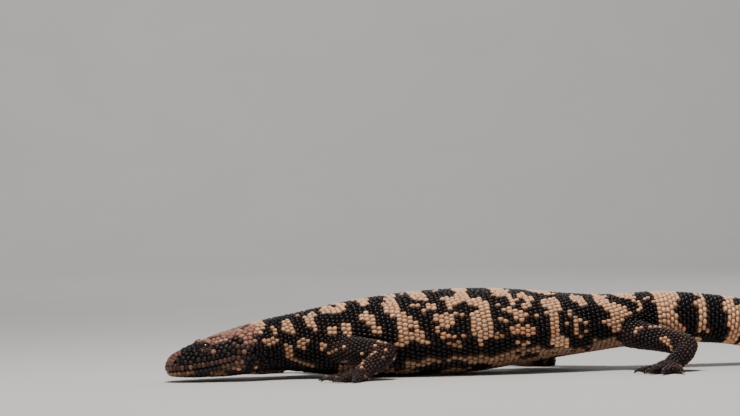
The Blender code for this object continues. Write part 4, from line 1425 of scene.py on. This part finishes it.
def body_marks(points):
    """The body's markings at places of the skin: their colour, with painted shade down the flanks and on the
    belly, and how pale they are.
    """
    along, angle, _ = body_place(points)
    side = np.where(np.cos(angle) > 0, 1.0, -1.0)
    turn = np.abs(back_turn(angle))
    read_along, read_turn = warped(along, turn, side)
    read_turn = np.maximum(read_turn, BACK_READ)
    on_tail = along > TAIL_FROM
    read_turn = np.where(on_tail, np.minimum(read_turn, TAIL_READ), read_turn)
    x, y = photo_places(on_body(read_along, math.pi / 2 + read_turn))
    speckle, cloud = noise_at(points, 4.0), noise_at(points, 17.0, 5.0)
    low = smooth_step(1.0, 2.1, turn)
    pale_tone = blend(CREAM, SALMON, 0.7 * low + 0.25 * cloud)
    # Pale marks are darker towards the neck, and darker down the flanks ahead of the tail, which is painted
    # shade.
    shade = 0.24 * smooth_step(0.8, 1.5, turn) * smooth_step(330.0, 300.0, along)
    pale_tone = pale_tone * (0.8 + 0.2 * smooth_step(70.0, 130.0, along) - shade)[:, None]
    colour = np.tile(BLACK, (len(points), 1)) * (0.9 + 0.4 * speckle[:, None])
    bright = inside_any(x, y, BRIGHT_BLOTCHES)
    marks = (
        (inside_any(x, y, PALE_BLOTCHES), pale_tone),
        (inside_any(x, y, PINK_BLOTCHES), np.tile(PINK, (len(points), 1))),
        (bright, np.tile(CREAM, (len(points), 1))),
        (inside_any(x, y, ORANGE_BLOTCHES), blend(ORANGE, SALMON, 0.3 + 0.3 * cloud)),
        (at_dots(x, y, BODY_DOTS, (side < 0, side > 0)), pale_tone * 0.75),
        (at_dots(x, y, FAINT_DOTS, (side < 0, side > 0)), pale_tone * 0.5),
        (inside_any(x, y, DARK_SPOTS), colour),
    )
    paleness = np.zeros(len(points))
    for where, tone in marks:
        where = where & (along <= PHOTO_END)
        colour = over(colour, where, tone)
        paleness = np.where(where, tone.max(1) > PALE_TONE, paleness)
    beyond = past_photo(points, along, speckle, cloud)
    colour = over(colour, beyond, pale_tone)
    paleness = np.where(beyond, 1.0, paleness)
    under = (turn > BELLY_TURN + 0.12 * cloud) & ~on_tail & (along > ROWS_FROM) & ~bright
    belly, dark_patch = belly_marks(points, along, speckle)
    return over(colour, under, belly), np.where(under, ~dark_patch, paleness)


def head_marks(points):
    """The head's markings, alike on both sides: a pink crown, a dark mask, and brown lips and chin."""
    middle, right, _, _ = body_frame(points[:, 0])
    out = ((points - middle) * right).sum(1)
    left = points - (out + np.abs(out))[:, None] * right
    x, y = photo_places(left)
    along, angle, _ = body_place(left)
    speckle, cloud = noise_at(points, 3.2), noise_at(points, 10.0, 2.0)
    gap, above = mouth_gap(points)
    mask = blend(BLACK, np.array(SLATE) * 2.0, 0.4 + speckle * 1.4)
    colour = blend(mask, UMBER, smooth_step(0.15, 0.5, cloud + 0.3 * speckle) * 0.6)
    snout = inside(x, y, SNOUT_TOP) & ~inside(x, y, SNOUT_PATCH)
    snout_tone = blend(UMBER, np.array(PINK) * 0.5, 0.5 + speckle)
    colour = over(colour, snout, snout_tone)
    colour = over(colour, inside(x, y, SNOUT_PATCH), np.array(BLACK) * 1.4)
    near_lips = smooth_step(5.4, 2.6, gap) * smooth_step(50.0, 42.0, along) * above
    colour = blend(colour, np.array(UMBER) * 1.15, near_lips * np.clip(0.75 + speckle, 0.2, 1.0))
    chin = ~above & (along < 46.0)
    chin_tone = blend(np.array(SLATE) * 1.4, TAN, np.clip(1.2 * cloud + 0.7 * speckle, 0.0, 0.7))
    colour = over(colour, chin, chin_tone)
    throat = (np.sin(angle) < -0.55) & (along > 40.0) & (cloud + 0.4 * speckle > 0.1)
    colour = over(colour, throat, blend(TAN, SALMON, 0.4 + speckle))
    top = np.sin(angle) + smooth_step(20.0, 32.0, along) * 0.42 > 1.05
    crown = inside_any(x, y, PINK_BLOTCHES) | top & (along > 25.0 + 9.0 * cloud)
    halves = (out < 0, out >= 0)
    crown &= ~at_dots(x, y, CROWN_DOTS, halves[:1])
    crown &= ~at_dots(x + CROWN_DOT_SHIFT, y, CROWN_DOTS[1:], halves[1:])
    crown |= inside_any(x, y, PALE_BLOTCHES)
    pink = blend(PINK, CREAM, np.clip(0.1 + 0.7 * speckle, 0.0, 0.4)) * 0.66
    colour = over(colour, crown, pink)
    dots = at_dots(x, y, HEAD_DOTS, halves)
    colour = over(colour, dots, np.array(PINK) * 0.6)
    return colour, np.where(crown | dots, 1.0, np.where(throat, 0.8, 0.2))


def leg_marks(points, normals, which):
    """The legs' markings: dark, with small pale beads strewn in clusters."""
    x, y = photo_places(points)
    _, ahead, _, _ = camera_axes()
    speckle, cloud = noise_at(points, 2.2, 4.0), noise_at(points, 9.0, 8.0)
    left = (which == 0) | (which == 2)
    faces_us = left & (normals @ ahead < -0.15)
    strewn = (speckle + 0.55 * cloud) > np.where(faces_us & (which == 2), 0.66, 0.44)
    dots = at_dots(x, y, LEG_DOTS, (faces_us,))
    pale = dots | strewn
    colour = blend(LEG_DARK, np.array(UMBER) * 0.6, 0.25 + cloud)
    tone = blend(CREAM, SALMON, 0.4 + cloud)
    tone = over(tone * STREWN_SHADE, dots, tone * 0.9)
    soles = points[:, 2] < SOLE_TOP
    colour = over(colour, pale, tone)
    return over(colour, soles, np.array(UMBER) * 1.1), np.where(pale, 1.0, 0.0)


def markings(points, normals):
    """The colour of the hide at places of the skin, and how pale it is."""
    body, body_pale = body_marks(points)
    head, head_pale = head_marks(points)
    which, _ = leg_parts(points)
    _, _, height = body_place(points)
    which = np.where(height < 3.0, -1, which)
    legs, legs_pale = leg_marks(points, normals, which)
    on_head = points[:, 0] < 57.0 + 2.0 * noise_at(points, 6.0)
    colour = over(body, on_head, head)
    paleness = np.where(on_head, head_pale, body_pale)
    on_leg = which >= 0
    return over(colour, on_leg, legs), np.where(on_leg, legs_pale, paleness)


# How much of its breadth each kind of scale rises, and how flat its crown is.
DOMES = {"bead": 0.44, "belly": 0.15, "leg": 0.38, "toe": 0.26, "plate": 0.29, "lip": 0.24, "lid": 0.36}
FLAT_CROWNS = {"belly": 1.0, "toe": 0.6, "plate": 0.5, "lip": 0.8}
DOME_RANGE, TALLEST, LOWEST = (0.9, 1.12), 1.3, 0.04
FLATTENING, CROWN_JITTER = 0.45, 0.05
# A scale's tones: its edge on a dark scale and on a pale one, partly the darker skin between beads and
# partly painted shade in the creases, and its crown, a little lighter as a painted highlight.
DARK_EDGE, PALE_EDGE, CROWN_HIGHLIGHT_TONE = 0.3, (0.52, 0.47, 0.44), 1.06
# How much rust a dark scale beside a pale one takes, and how much the scales' tones and hues vary.
RUST_SHARE, TONE_RANGE, HUE_DRIFT = 0.22, (0.88, 1.08), (-0.01, 0.025, 0.05)
# The skin between dark and between pale scales, darker partly as such skin is and partly as painted shade in
# the creases, and in the bare openings.
SKIN_DARK, SKIN_PALE, BARE_COLOUR = 0.3, (0.36, 0.28, 0.23), (0.02, 0.012, 0.012)
# How much the mottling roughens the gloss.
WEAR = 0.16
# The pieces of the body's coat, apart from the belly's: where each starts and ends.
REGIONS = (
    ("head_plates", -math.inf, HEAD_END),
    ("neck_beads", HEAD_END, 128.0),
    ("back_beads", 128.0, 205.0),
    ("loin_beads", 205.0, 318.0),
    ("tail_beads", 318.0, math.inf),
)
# The unwrap: its scale, the size of one scale on it, its margin, and where the legs and feet lie.
BAKE_SCALE, BAKE_PATCH, BAKE_MARGIN = 0.002, 0.0014, 0.02
BAKE_LEG_STEP, BAKE_LEGS_V, BAKE_FEET_V = 0.24, 0.22, (0.07, 0.93)


def bake_places(roots, which, walk):
    """Each scale's place on an unwrap of the skin: the body opened along its belly, and each leg."""
    along, angle, _ = body_place(roots.place)
    u = BAKE_MARGIN + along * BAKE_SCALE
    v = 0.5 + back_turn(angle) / math.pi * girth(along) * BAKE_SCALE
    for k, leg in enumerate(LEGS.values()):
        rows = path_rows(leg["path"])
        heel, forward, right, _ = foot_axes(leg)
        at = np.minimum(walk, rows[-1, 0])
        middle = np.column_stack([np.interp(at, rows[:, 0], rows[:, c]) for c in (1, 2, 3)])
        tangent = unit(read_rows(rows, at + 1.0)[:, :3] - read_rows(rows, at - 1.0)[:, :3])
        across, up = level_axes(tangent)
        away, past_heel = roots.place - middle, roots.place - heel
        x, y = (away * across).sum(1), (away * up).sum(1)
        start = BAKE_MARGIN + BAKE_LEG_STEP * k
        leg_u = start + walk * BAKE_SCALE
        leg_v = BAKE_LEGS_V + np.arctan2(y, x) * np.hypot(x, y) * BAKE_SCALE
        foot_u = start + BAKE_MARGIN + past_heel @ forward * BAKE_SCALE
        foot_v = np.where(roots.normal[:, 2] > 0, *BAKE_FEET_V) + past_heel @ right * BAKE_SCALE
        on_foot = walk > rows[-1, 0]
        u = np.where(which == k, np.where(on_foot, foot_u, leg_u), u)
        v = np.where(which == k, np.where(on_foot, foot_v, leg_v), v)
    return np.column_stack([u, v])


def paint(mesh, colours, paleness):
    """Stores the hide's colour and paleness on a mesh's points."""
    layer = mesh.color_attributes.new(name="hide", type="FLOAT_COLOR", domain="POINT")
    table = np.column_stack([np.clip(colours, 0.0, 1.0), paleness]).astype(np.float32)
    layer.data.foreach_set("color", table.ravel())


def painted(name, points, faces, colours, paleness, finish):
    """A smooth object with the hide's colour and paleness on its points."""
    mesh = mesh_of(name, points, faces)
    paint(mesh, colours, paleness)
    mesh.shade_smooth()
    mesh.materials.append(finish)
    return new_object(name, mesh)


def scale_points(roots, chosen, random):
    """Each chosen scale's points, from its buried edge up to its crown, and the ways it spreads."""
    place, normal = roots.place[chosen], roots.normal[chosen, None]
    ahead, across = roots.ahead[chosen, None], roots.across[chosen, None]
    radius, kind, count = roots.radius[chosen], roots.kind[chosen], len(place)
    dome = np.array([DOMES[k] for k in kind]) * random.uniform(*DOME_RANGE, count)
    flat = np.array([FLAT_CROWNS.get(k, 0.0) for k in kind])
    height = np.minimum(dome * 2 * radius.mean(1), TALLEST)
    ends = smooth_step(5.0, 0.0, place[:, 0]) + smooth_step(464.0, 470.0, place[:, 0])
    height = height * (1.0 - 0.5 * ends)
    turns = round_turns(SCALE_SIDES)[None, :, None]
    spread = ahead * np.cos(turns) + across * np.sin(turns)
    rings = []
    for share, rise in PROFILE:
        rise_here = rise * height if rise > 0 else np.full(count, rise)
        reach = radius * (share ** (1.0 - FLATTENING * flat))[:, None]
        rings.append(place[:, None] + spread * reach[:, :, None] + normal * rise_here[:, None, None])
    crown = place[:, None] + normal * height[:, None, None]
    crown = crown + random.normal(0.0, CROWN_JITTER, (count, 3))[:, None]
    points = np.concatenate([*rings, crown], axis=1)
    points[:, :, 0] = np.clip(points[:, :, 0], *SOLIDS_LENGTH)
    points[:, :, 2] = np.clip(points[:, :, 2], LOWEST, SOLIDS_HEIGHT)
    return points, spread


def scale_tones(base, paleness, spread):
    """The colours of those points: the scale's own, darker at its edge (partly its darker rim, partly
    painted shade in the creases), darker still on its underside as painted shade, and a little lighter at
    its crown as a painted highlight.
    """
    edge = blend(base * DARK_EDGE, base * PALE_EDGE, paleness)
    down = np.clip(-spread[:, :, 2], 0.0, 1.0)
    tones = []
    for share, under in zip(EDGE_TONE_AND_SHADE_SHARES, UNDERSIDE_SHADE_SHARES):
        weight = np.minimum(share + under * down, 1.0)[:, :, None]
        tones.append(base[:, None] * (1 - weight) + edge[:, None] * weight)
    return np.concatenate([*tones, base[:, None] * CROWN_HIGHLIGHT_TONE], axis=1)


def scale_piece(name, roots, chosen, finish, random):
    """One piece of the coat: a closed bead for every chosen root, in one mesh."""
    points, spread = scale_points(roots, chosen, random)
    count, size, _ = points.shape
    last = size - 1 - SCALE_SIDES
    fan = [(last + j, last + (j + 1) % SCALE_SIDES, size - 1) for j in range(SCALE_SIDES)]
    pattern = tube_faces(len(PROFILE), SCALE_SIDES)[:-1] + fan
    faces = [tuple(i + k * size for i in f) for k in range(count) for f in pattern]
    base, paleness = roots.colour[chosen], roots.pale[chosen]
    tones = scale_tones(base, paleness, spread).reshape(-1, 3)
    piece = painted(name, points.reshape(-1, 3), faces, tones, np.repeat(paleness, size), finish)
    mesh = piece.data
    turns = round_turns(SCALE_SIDES)
    circle = np.column_stack([np.cos(turns), np.sin(turns)])
    around = np.concatenate([circle * share for share, _ in PROFILE] + [np.zeros((1, 2))])
    spots = (roots.bake[chosen][:, None] + around[None] * BAKE_PATCH).reshape(-1, 2)
    corner = np.empty(len(mesh.loops), np.int32)
    mesh.loops.foreach_get("vertex_index", corner)
    mesh.uv_layers.new(name="OFBake").data.foreach_set("uv", spots[corner].astype(np.float32).ravel())
    return piece


def feed(tree, socket, value):
    """Links an input to another node's output, or sets it to a value."""
    if isinstance(value, bpy.types.NodeSocket):
        tree.links.new(value, socket)
    else:
        socket.default_value = value


def link(tree, made, **sockets):
    """Sets or links a node's inputs by name, with underscores for spaces."""
    for name, value in sockets.items():
        feed(tree, made.inputs[name.replace("_", " ")], value)
    return made


def arithmetic(tree, kind, operation, *values):
    """A node of arithmetic, and what goes into its first inputs."""
    made = tree.nodes.new(kind)
    made.operation = operation
    for socket, value in zip(made.inputs, values):
        feed(tree, socket, value)
    return made


def node(tree, kind, **sockets):
    return link(tree, tree.nodes.new(kind), **sockets)


def new_material(name):
    """A new material, its tree, its shader, and the places of the object that wears it."""
    made = bpy.data.materials.new(name)
    made.use_nodes = True
    tree = made.node_tree
    return made, tree, tree.nodes["Principled BSDF"], node(tree, "ShaderNodeTexCoord").outputs["Object"]


def hide_material(name, dark_roughness, pale_roughness, grain, grain_depth, coat=0.25):
    """The look of bead scales: their own colour, mottled, with a gloss that is higher on dark ones."""
    made, tree, shader, places = new_material(name)
    colour = tree.nodes.new("ShaderNodeAttribute")
    colour.attribute_name = "hide"
    mottle = node(tree, "ShaderNodeTexNoise", Vector=places, Scale=650.0, Detail=3.0, Roughness=0.6)
    mottled = node(tree, "ShaderNodeMapRange", Value=mottle.outputs["Fac"])
    link(tree, mottled, From_Min=0.3, From_Max=0.7, To_Min=0.72, To_Max=1.18)
    tint = arithmetic(tree, "ShaderNodeVectorMath", "SCALE", colour.outputs["Color"])
    link(tree, tint, Scale=mottled.outputs["Result"])
    gloss = node(tree, "ShaderNodeMapRange", Value=colour.outputs["Alpha"])
    link(tree, gloss, To_Min=dark_roughness, To_Max=pale_roughness)
    worn = (mottle.outputs["Fac"], WEAR, gloss.outputs["Result"])
    wear = arithmetic(tree, "ShaderNodeMath", "MULTIPLY_ADD", *worn)
    fine = node(tree, "ShaderNodeTexNoise", Vector=places, Scale=grain, Detail=4.0, Roughness=0.7)
    bump = node(tree, "ShaderNodeBump", Height=fine.outputs["Fac"], Strength=0.8, Distance=grain_depth * MM)
    link(tree, shader, Base_Color=tint.outputs["Vector"], Roughness=wear.outputs["Value"])
    link(tree, shader, Normal=bump.outputs["Normal"], IOR=1.48, Specular_IOR_Level=0.13)
    link(tree, shader, Coat_Weight=coat, Coat_Roughness=0.09)
    return made


def paper_material(name, colour, roughness, grain):
    """Plain paper, a little uneven in tone."""
    made, tree, shader, places = new_material(name)
    cloud = node(tree, "ShaderNodeTexNoise", Vector=places, Scale=grain, Detail=4.0)
    tone = node(tree, "ShaderNodeValToRGB", Fac=cloud.outputs["Fac"])
    for stop, share in zip(tone.color_ramp.elements, (0.96, 1.04)):
        stop.color = (*[min(c * share, 1.0) for c in colour], 1.0)
    link(tree, shader, Base_Color=tone.outputs["Color"], Roughness=roughness)
    return made


def colour_coat(roots, near, random):
    """Gives every scale its colour and paleness, each a little unlike those beside it."""
    colour, pale = markings(roots.place, roots.normal)
    beside_pale = (pale < 0.5) * (pale[near[:, :TOUCHING]].max(1) > 0.5)
    colour = blend(colour, RUST, RUST_SHARE * beside_pale)
    colour = colour * random.uniform(*TONE_RANGE, (len(colour), 1))
    colour = colour * (1.0 + random.normal(0.0, 1.0, (len(colour), 1)) * HUE_DRIFT)
    roots.colour, roots.pale = colour, pale


def coat_regions(roots, which):
    """Which roots each piece of the coat has, by the part of the animal that it covers."""
    x = roots.place[:, 0]
    body = which < 0
    belly = body & (roots.kind == "belly")
    flank = body & ~belly
    regions = {name: flank & (x >= start) & (x < end) for name, start, end in REGIONS}
    regions["belly_plates"] = belly
    for k, name in enumerate(LEGS):
        regions[f"{name}_leg_beads"] = which == k
    return regions


def make_coat(surface, random):
    """All the scales, in pieces by the part of the animal that they cover."""
    roots = make_roots(surface, random)
    near = neighbours(roots)
    roots.radius, roots.across = outlines(roots, near, random)
    which, walk = leg_parts(roots.place)
    colour_coat(roots, near, random)
    roots.bake = bake_places(roots, which, walk)
    finishes = {
        "head": hide_material("head_plate", 0.34, 0.46, 1600.0, 0.30, 0.15),
        "bead": hide_material("bead_scale", 0.26, 0.44, 1500.0, 0.25, 0.2),
        "belly": hide_material("belly_plate", 0.42, 0.5, 1300.0, 0.30, 0.05),
        "leg": hide_material("leg_bead", 0.32, 0.44, 2000.0, 0.20, 0.12),
    }
    pieces = []
    for name, chosen in coat_regions(roots, which).items():
        finish = finishes[next((k for k in finishes if k in name), "bead")]
        pieces.append(scale_piece(name, roots, chosen, finish, random))
    return pieces, roots


def paint_skin(skin_mesh, roots):
    """The skin between the scales: the scales' own markings, darker and browner, partly as that skin is and
    partly as painted shade in the creases.
    """
    points = get_points(skin_mesh)
    _, which = nearest(tree_of(roots.place), points)
    tone = blend(roots.colour * SKIN_DARK, roots.colour * SKIN_PALE, roots.pale)[which]
    tone = over(tone, open_places(points), BARE_COLOUR)
    paint(skin_mesh, tone, roots.pale[which])
    skin_mesh.materials.append(hide_material("bare_skin", 0.62, 0.66, 1500.0, 0.3, 0.0))


EYE_COLUMNS, EYE_RINGS = 40, 28
# How far the eyeball is set in, and how far its clear front stands out again.
EYE_SET_IN, EYE_BULGE = 0.12, 0.10
PUPIL, IRIS = math.radians(17.0), math.radians(43.0)
PUPIL_COLOUR, EYE_RIM_COLOUR = (0.003, 0.003, 0.003), (0.012, 0.009, 0.008)
IRIS_COLOURS = ((0.022, 0.012, 0.007), (0.055, 0.028, 0.013))
# The lids' rolled rim: how far out and proud of the eye it lies, its thickness, creases and points.
RIM_OUT, RIM_PROUD, RIM_THICK, RIM_CREASE, RIM_CREASES = 0.12, 0.28, 0.34, 0.10, 9.0
RIM_AROUND, RIM_SECTION = 64, 12
RIM_COLOUR, RIM_PALENESS = (0.035, 0.026, 0.024), 0.3


def make_eye(side, finish):
    """An eyeball with a round pupil and a brown iris, and its clear front a little proud."""
    middle, axes = face_axes(side)
    points, faces = ball(np.zeros(3), 1.0, EYE_COLUMNS, EYE_RINGS)
    polar = np.arccos(np.clip(points[:, 2], -1.0, 1.0))
    bearing = np.arctan2(points[:, 1], points[:, 0])
    radius = (EYE_RADIUS - EYE_SET_IN) + EYE_BULGE * smooth_step(IRIS, 0.0, polar)
    streak = 0.5 + 0.5 * np.sin(bearing * 23.0) * np.sin(bearing * 9.0 + 1.0)
    tone = over(blend(*IRIS_COLOURS, streak), polar < PUPIL, PUPIL_COLOUR)
    tone = over(tone, polar > IRIS, EYE_RIM_COLOUR)
    name = "eyeball_left" if side < 0 else "eyeball_right"
    points = middle + (points * radius[:, None]) @ axes
    return painted(name, points, faces, tone, np.zeros(len(points)), finish)


def make_lid(side, finish):
    """The rolled rim of one eye's lids, creased along its edge."""
    middle, axes = face_axes(side)
    wide, high = LID_OPENING
    points = []
    for turn in round_turns(RIM_AROUND):
        c, s = math.cos(turn), math.sin(turn)
        rim = np.array(((wide + RIM_OUT) * c, (high + RIM_OUT) * s, 0.0))
        depth = math.sqrt(max((EYE_RADIUS + RIM_PROUD) ** 2 - rim[0] ** 2 - rim[1] ** 2, 0.2))
        out = unit(np.array((c / wide, s / high, 0.0)))
        thick = RIM_THICK * (1.0 + RIM_CREASE * math.sin(turn * RIM_CREASES))
        for bend in round_turns(RIM_SECTION):
            spot = rim + out * (thick * math.cos(bend)) + np.array((0, 0, depth + thick * math.sin(bend)))
            points.append(middle + spot @ axes)
    faces = []
    for i in range(RIM_AROUND):
        for j in range(RIM_SECTION):
            a, b = i * RIM_SECTION, (i + 1) % RIM_AROUND * RIM_SECTION
            k = (j + 1) % RIM_SECTION
            faces.append((a + j, b + j, b + k, a + k))
    name = "lid_rim_left" if side < 0 else "lid_rim_right"
    tone = np.tile(RIM_COLOUR, (len(points), 1))
    return painted(name, np.array(points), faces, tone, np.full(len(points), RIM_PALENESS), finish)


def curve_of(tree, factor, rows, unit_size):
    """A curve node through rows of place and value, both read as shares of the rows' own ranges."""
    places, values = np.array(rows, float).T
    low, high = values.min(), values.max()
    curve = node(tree, "ShaderNodeFloatCurve", Value=factor)
    points = curve.mapping.curves[0].points
    while len(points) < len(rows):
        points.new(0.5, 0.5)
    for point, place, value in zip(points, places, values):
        share = (place - places[0]) / (places[-1] - places[0]), (value - low) / (high - low)
        point.location = share
    curve.mapping.update()
    spread = node(tree, "ShaderNodeMapRange", Value=curve.outputs["Value"])
    return link(tree, spread, To_Min=low * unit_size, To_Max=high * unit_size).outputs["Result"]


def claw_path(tree, length, share):
    """The line that a claw's horn follows: straight ahead by its length, and hooking down."""
    line = node(tree, "GeometryNodeCurvePrimitiveLine", End=(1.0, 0.0, 0.0))
    spine_curve = node(tree, "GeometryNodeResampleCurve", Curve=line.outputs["Curve"], Count=CLAW_RINGS)
    reach = node(tree, "ShaderNodeMapRange", Value=share)
    link(tree, reach, To_Min=CLAW_SHAPE[0][0], To_Max=CLAW_SHAPE[-1][0])
    ahead = arithmetic(tree, "ShaderNodeMath", "MULTIPLY", reach.outputs["Result"], length)
    rise = curve_of(tree, share, [(at, rise) for at, _, rise in CLAW_SHAPE], MM)
    spot = node(tree, "ShaderNodeCombineXYZ", X=ahead.outputs["Value"], Z=rise).outputs["Vector"]
    hooked = node(tree, "GeometryNodeSetPosition", Geometry=spine_curve.outputs["Curve"], Position=spot)
    level = node(tree, "GeometryNodeSetCurveNormal", Curve=hooked.outputs["Geometry"])
    level.mode = "Z_UP"
    return level.outputs["Curve"]


def claw_tree(finish):
    """Geometry nodes that grow a claw at each toe's end: a tapered horn, drawn along a hooked line."""
    tree = bpy.data.node_groups.new("claw_on_each_toe", "GeometryNodeTree")
    sizes = [(name, "Float") for name in ("Length", "Half Width", "Half Height")]
    for name, kind in (("Toe Ends", "Geometry"), *sizes):
        tree.interface.new_socket(name, in_out="INPUT", socket_type=f"NodeSocket{kind}")
    tree.interface.new_socket("Claws", in_out="OUTPUT", socket_type="NodeSocketGeometry")
    given = tree.nodes.new("NodeGroupInput").outputs
    share = tree.nodes.new("GeometryNodeSplineParameter").outputs["Factor"]
    kept = tree.nodes.new("GeometryNodeCaptureAttribute")
    kept.capture_items.new("FLOAT", "Share")
    link(tree, kept, Geometry=claw_path(tree, given["Length"], share), Share=share)
    circle = node(tree, "GeometryNodeCurvePrimitiveCircle", Resolution=CLAW_SIDES, Radius=1.0)
    breadth = node(tree, "ShaderNodeCombineXYZ", X=given["Half Width"], Y=given["Half Height"], Z=1.0)
    section = node(tree, "GeometryNodeTransform", Geometry=circle.outputs["Curve"])
    link(tree, section, Scale=breadth.outputs["Vector"])
    taper = curve_of(tree, share, [(at, size) for at, size, _ in CLAW_SHAPE], 1.0)
    horn = node(tree, "GeometryNodeCurveToMesh", Curve=kept.outputs["Geometry"], Scale=taper)
    link(tree, horn, Profile_Curve=section.outputs["Geometry"], Fill_Caps=True)
    tone = node(tree, "ShaderNodeValToRGB", Fac=kept.outputs["Share"])
    for stop, strength in zip(tone.color_ramp.elements, CLAW_TONES):
        stop.color = (*[c * strength for c in CLAW_COLOUR], CLAW_PALENESS)
    coloured = tree.nodes.new("GeometryNodeStoreNamedAttribute")
    coloured.data_type = "FLOAT_COLOR"
    link(tree, coloured, Geometry=horn.outputs["Mesh"], Name="hide", Value=tone.outputs["Color"])
    heading = node(tree, "GeometryNodeInputNamedAttribute", Name="heading").outputs["Attribute"]
    turn = node(tree, "ShaderNodeCombineXYZ", Z=heading)
    rotation = node(tree, "FunctionNodeEulerToRotation", Euler=turn.outputs["Vector"])
    on_toes = node(tree, "GeometryNodeInstanceOnPoints", Points=given["Toe Ends"])
    link(tree, on_toes, Instance=coloured.outputs["Geometry"], Rotation=rotation.outputs["Rotation"])
    real = node(tree, "GeometryNodeRealizeInstances", Geometry=on_toes.outputs["Instances"])
    horned = node(tree, "GeometryNodeSetMaterial", Geometry=real.outputs["Geometry"], Material=finish)
    link(tree, tree.nodes.new("NodeGroupOutput"), Claws=horned.outputs["Geometry"])
    return tree


def make_claws(place, leg, tree):
    """The five claws of a foot, grown by the claw tree at its toes' ends."""
    toes = TOES[leg["kind"]]
    axes = [toe_axes(leg, toe) for toe in toes]
    ends = [
        root + direction * (toe[3] + CLAW_START) + (0, 0, TOE_RISE[-1])
        for (root, direction), toe in zip(axes, toes)
    ]
    name = f"{place}_claws"
    mesh = mesh_of(name, ends, [])
    heading = mesh.attributes.new("heading", "FLOAT", "POINT")
    heading.data.foreach_set("value", [math.atan2(direction[1], direction[0]) for _, direction in axes])
    grown = new_object(name, mesh).modifiers.new("claws", "NODES")
    grown.node_group = tree
    sizes = {
        "Length": CLAW_LENGTH[leg["kind"]],
        "Half Width": CLAW_HALF_WIDTH,
        "Half Height": CLAW_HALF_HEIGHT,
    }
    for socket in tree.interface.items_tree:
        if socket.name in sizes:
            grown[socket.identifier] = sizes[socket.name] * MM
    claws = evaluated(grown.id_data)
    claws.name = name
    claws.shade_smooth()
    return new_object(name, claws)


def outwards(mesh):
    work = bmesh.new()
    work.from_mesh(mesh)
    bmesh.ops.recalc_face_normals(work, faces=work.faces)
    work.to_mesh(mesh)
    work.free()


def eye_material():
    """A wet, dark eye."""
    made = hide_material("wet_eye", 0.05, 0.05, 1500.0, 0.0)
    shader = made.node_tree.nodes["Principled BSDF"]
    for name in ("Roughness", "Normal"):
        made.node_tree.links.remove(shader.inputs[name].links[0])
    link(made.node_tree, shader, Roughness=0.04, Coat_Weight=1.0, Coat_Roughness=0.02)
    return made


# The studio floor, in metres: flat this far out, then curving up like a paper sweep.
FLOOR_FLAT, FLOOR_BEND, FLOOR_BEND_TURN = 2.6, 1.5, math.radians(80.0)
FLOOR_SIDES, FLOOR_RINGS = 128, 20
PAPER_COLOUR = (0.56, 0.55, 0.54)


def make_floor():
    """A wide pale floor that curves up round its rim, so that it has no edge behind the animal."""
    turns = round_turns(FLOOR_SIDES)
    bends = np.linspace(0.0, FLOOR_BEND_TURN, FLOOR_RINGS)
    rings = [(FLOOR_FLAT + FLOOR_BEND * math.sin(b), FLOOR_BEND * (1 - math.cos(b))) for b in bends[::-1]]
    points = [(r * math.cos(t), r * math.sin(t), z) for r, z in rings for t in turns]
    faces = tube_faces(len(rings), FLOOR_SIDES)
    del faces[-2]
    mesh = bpy.data.meshes.new("studio_floor")
    mesh.from_pydata(points, [], faces)
    mesh.shade_smooth()
    mesh.materials.append(paper_material("studio_paper", PAPER_COLOUR, 0.85, 6.0))
    floor = new_object("studio_floor", mesh)


def make_lights():
    """A soft light overhead, a weak one by the camera, a rim light, and one on the backdrop."""
    world = bpy.data.worlds.new("studio")
    bpy.context.scene.world = world
    world.use_nodes = True
    tree = world.node_tree
    ground = tree.nodes.get("Background") or tree.nodes.new("ShaderNodeBackground")
    ground.inputs["Color"].default_value = (0.80, 0.83, 0.88, 1.0)
    ground.inputs["Strength"].default_value = 0.17
    animal, sweep = (0.0, 0.0, 0.03), (0.0, 4.0, 0.9)
    lamps = (
        ("overhead", (-0.22, -0.3, 1.4), 0.5, 29.0, (1.0, 0.955, 0.90), animal),
        ("front", (-1.0, -1.6, 0.5), 1.0, 2.6, (1.0, 0.97, 0.94), animal),
        ("behind", (0.9, 1.3, 1.0), 0.8, 7.0, (1.0, 0.97, 0.94), animal),
        ("backdrop", (0.0, 2.0, 2.2), 1.6, 45.0, (1.0, 0.98, 0.96), sweep),
    )
    for name, place, size, power, colour, target in lamps:
        lamp = bpy.data.lights.new(name, "AREA")
        lamp.size, lamp.energy, lamp.color = size, power, colour
        made = new_object(name, lamp)
        made.location = place
        made.rotation_euler = (Vector(target) - made.location).to_track_quat("-Z", "Y").to_euler()


def make_camera():
    place, ahead, right, up = camera_axes()
    lens = bpy.data.cameras.new("camera")
    lens.lens, lens.sensor_width = CAMERA["lens"], SENSOR
    lens.clip_start, lens.clip_end = 0.05, 60.0
    camera = new_object("camera", lens)
    turn = Matrix((right, up, -ahead)).transposed()
    camera.matrix_world = Matrix.Translation(Vector(place) * MM) @ turn.to_4x4()
    bpy.context.scene.camera = camera


def main():
    random = np.random.default_rng(SEED)
    skin = make_skin()
    pieces, roots = make_coat(Surface(skin.data), random)
    paint_skin(skin.data, roots)
    claws = claw_tree(hide_material("claw_horn_streaked", 0.26, 0.34, 3000.0, 0.06))
    eye, lid = eye_material(), hide_material("lid_skin", 0.4, 0.5, 1500.0, 0.2)
    flesh_nodes = [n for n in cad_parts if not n.startswith("eye_") and "claw" not in n]
    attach(skin, "root")
    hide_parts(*flesh_nodes)
    for piece in pieces:
        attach(piece, "root")
    for side, node_name in ((-1, "eye_left"), (1, "eye_right")):
        ball_piece, lid_piece = make_eye(side, eye), make_lid(side, lid)
        outwards(lid_piece.data)
        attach(ball_piece, "root")
        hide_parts(node_name)
        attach(lid_piece, "root")
    for place, leg in LEGS.items():
        piece = make_claws(place, leg, claws)
        outwards(piece.data)
        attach(piece, "root")
        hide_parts(*[f"{place}_claw_{i + 1}" for i in range(len(TOES[leg["kind"]]))])
    make_floor()
    make_lights()
    make_camera()


main()
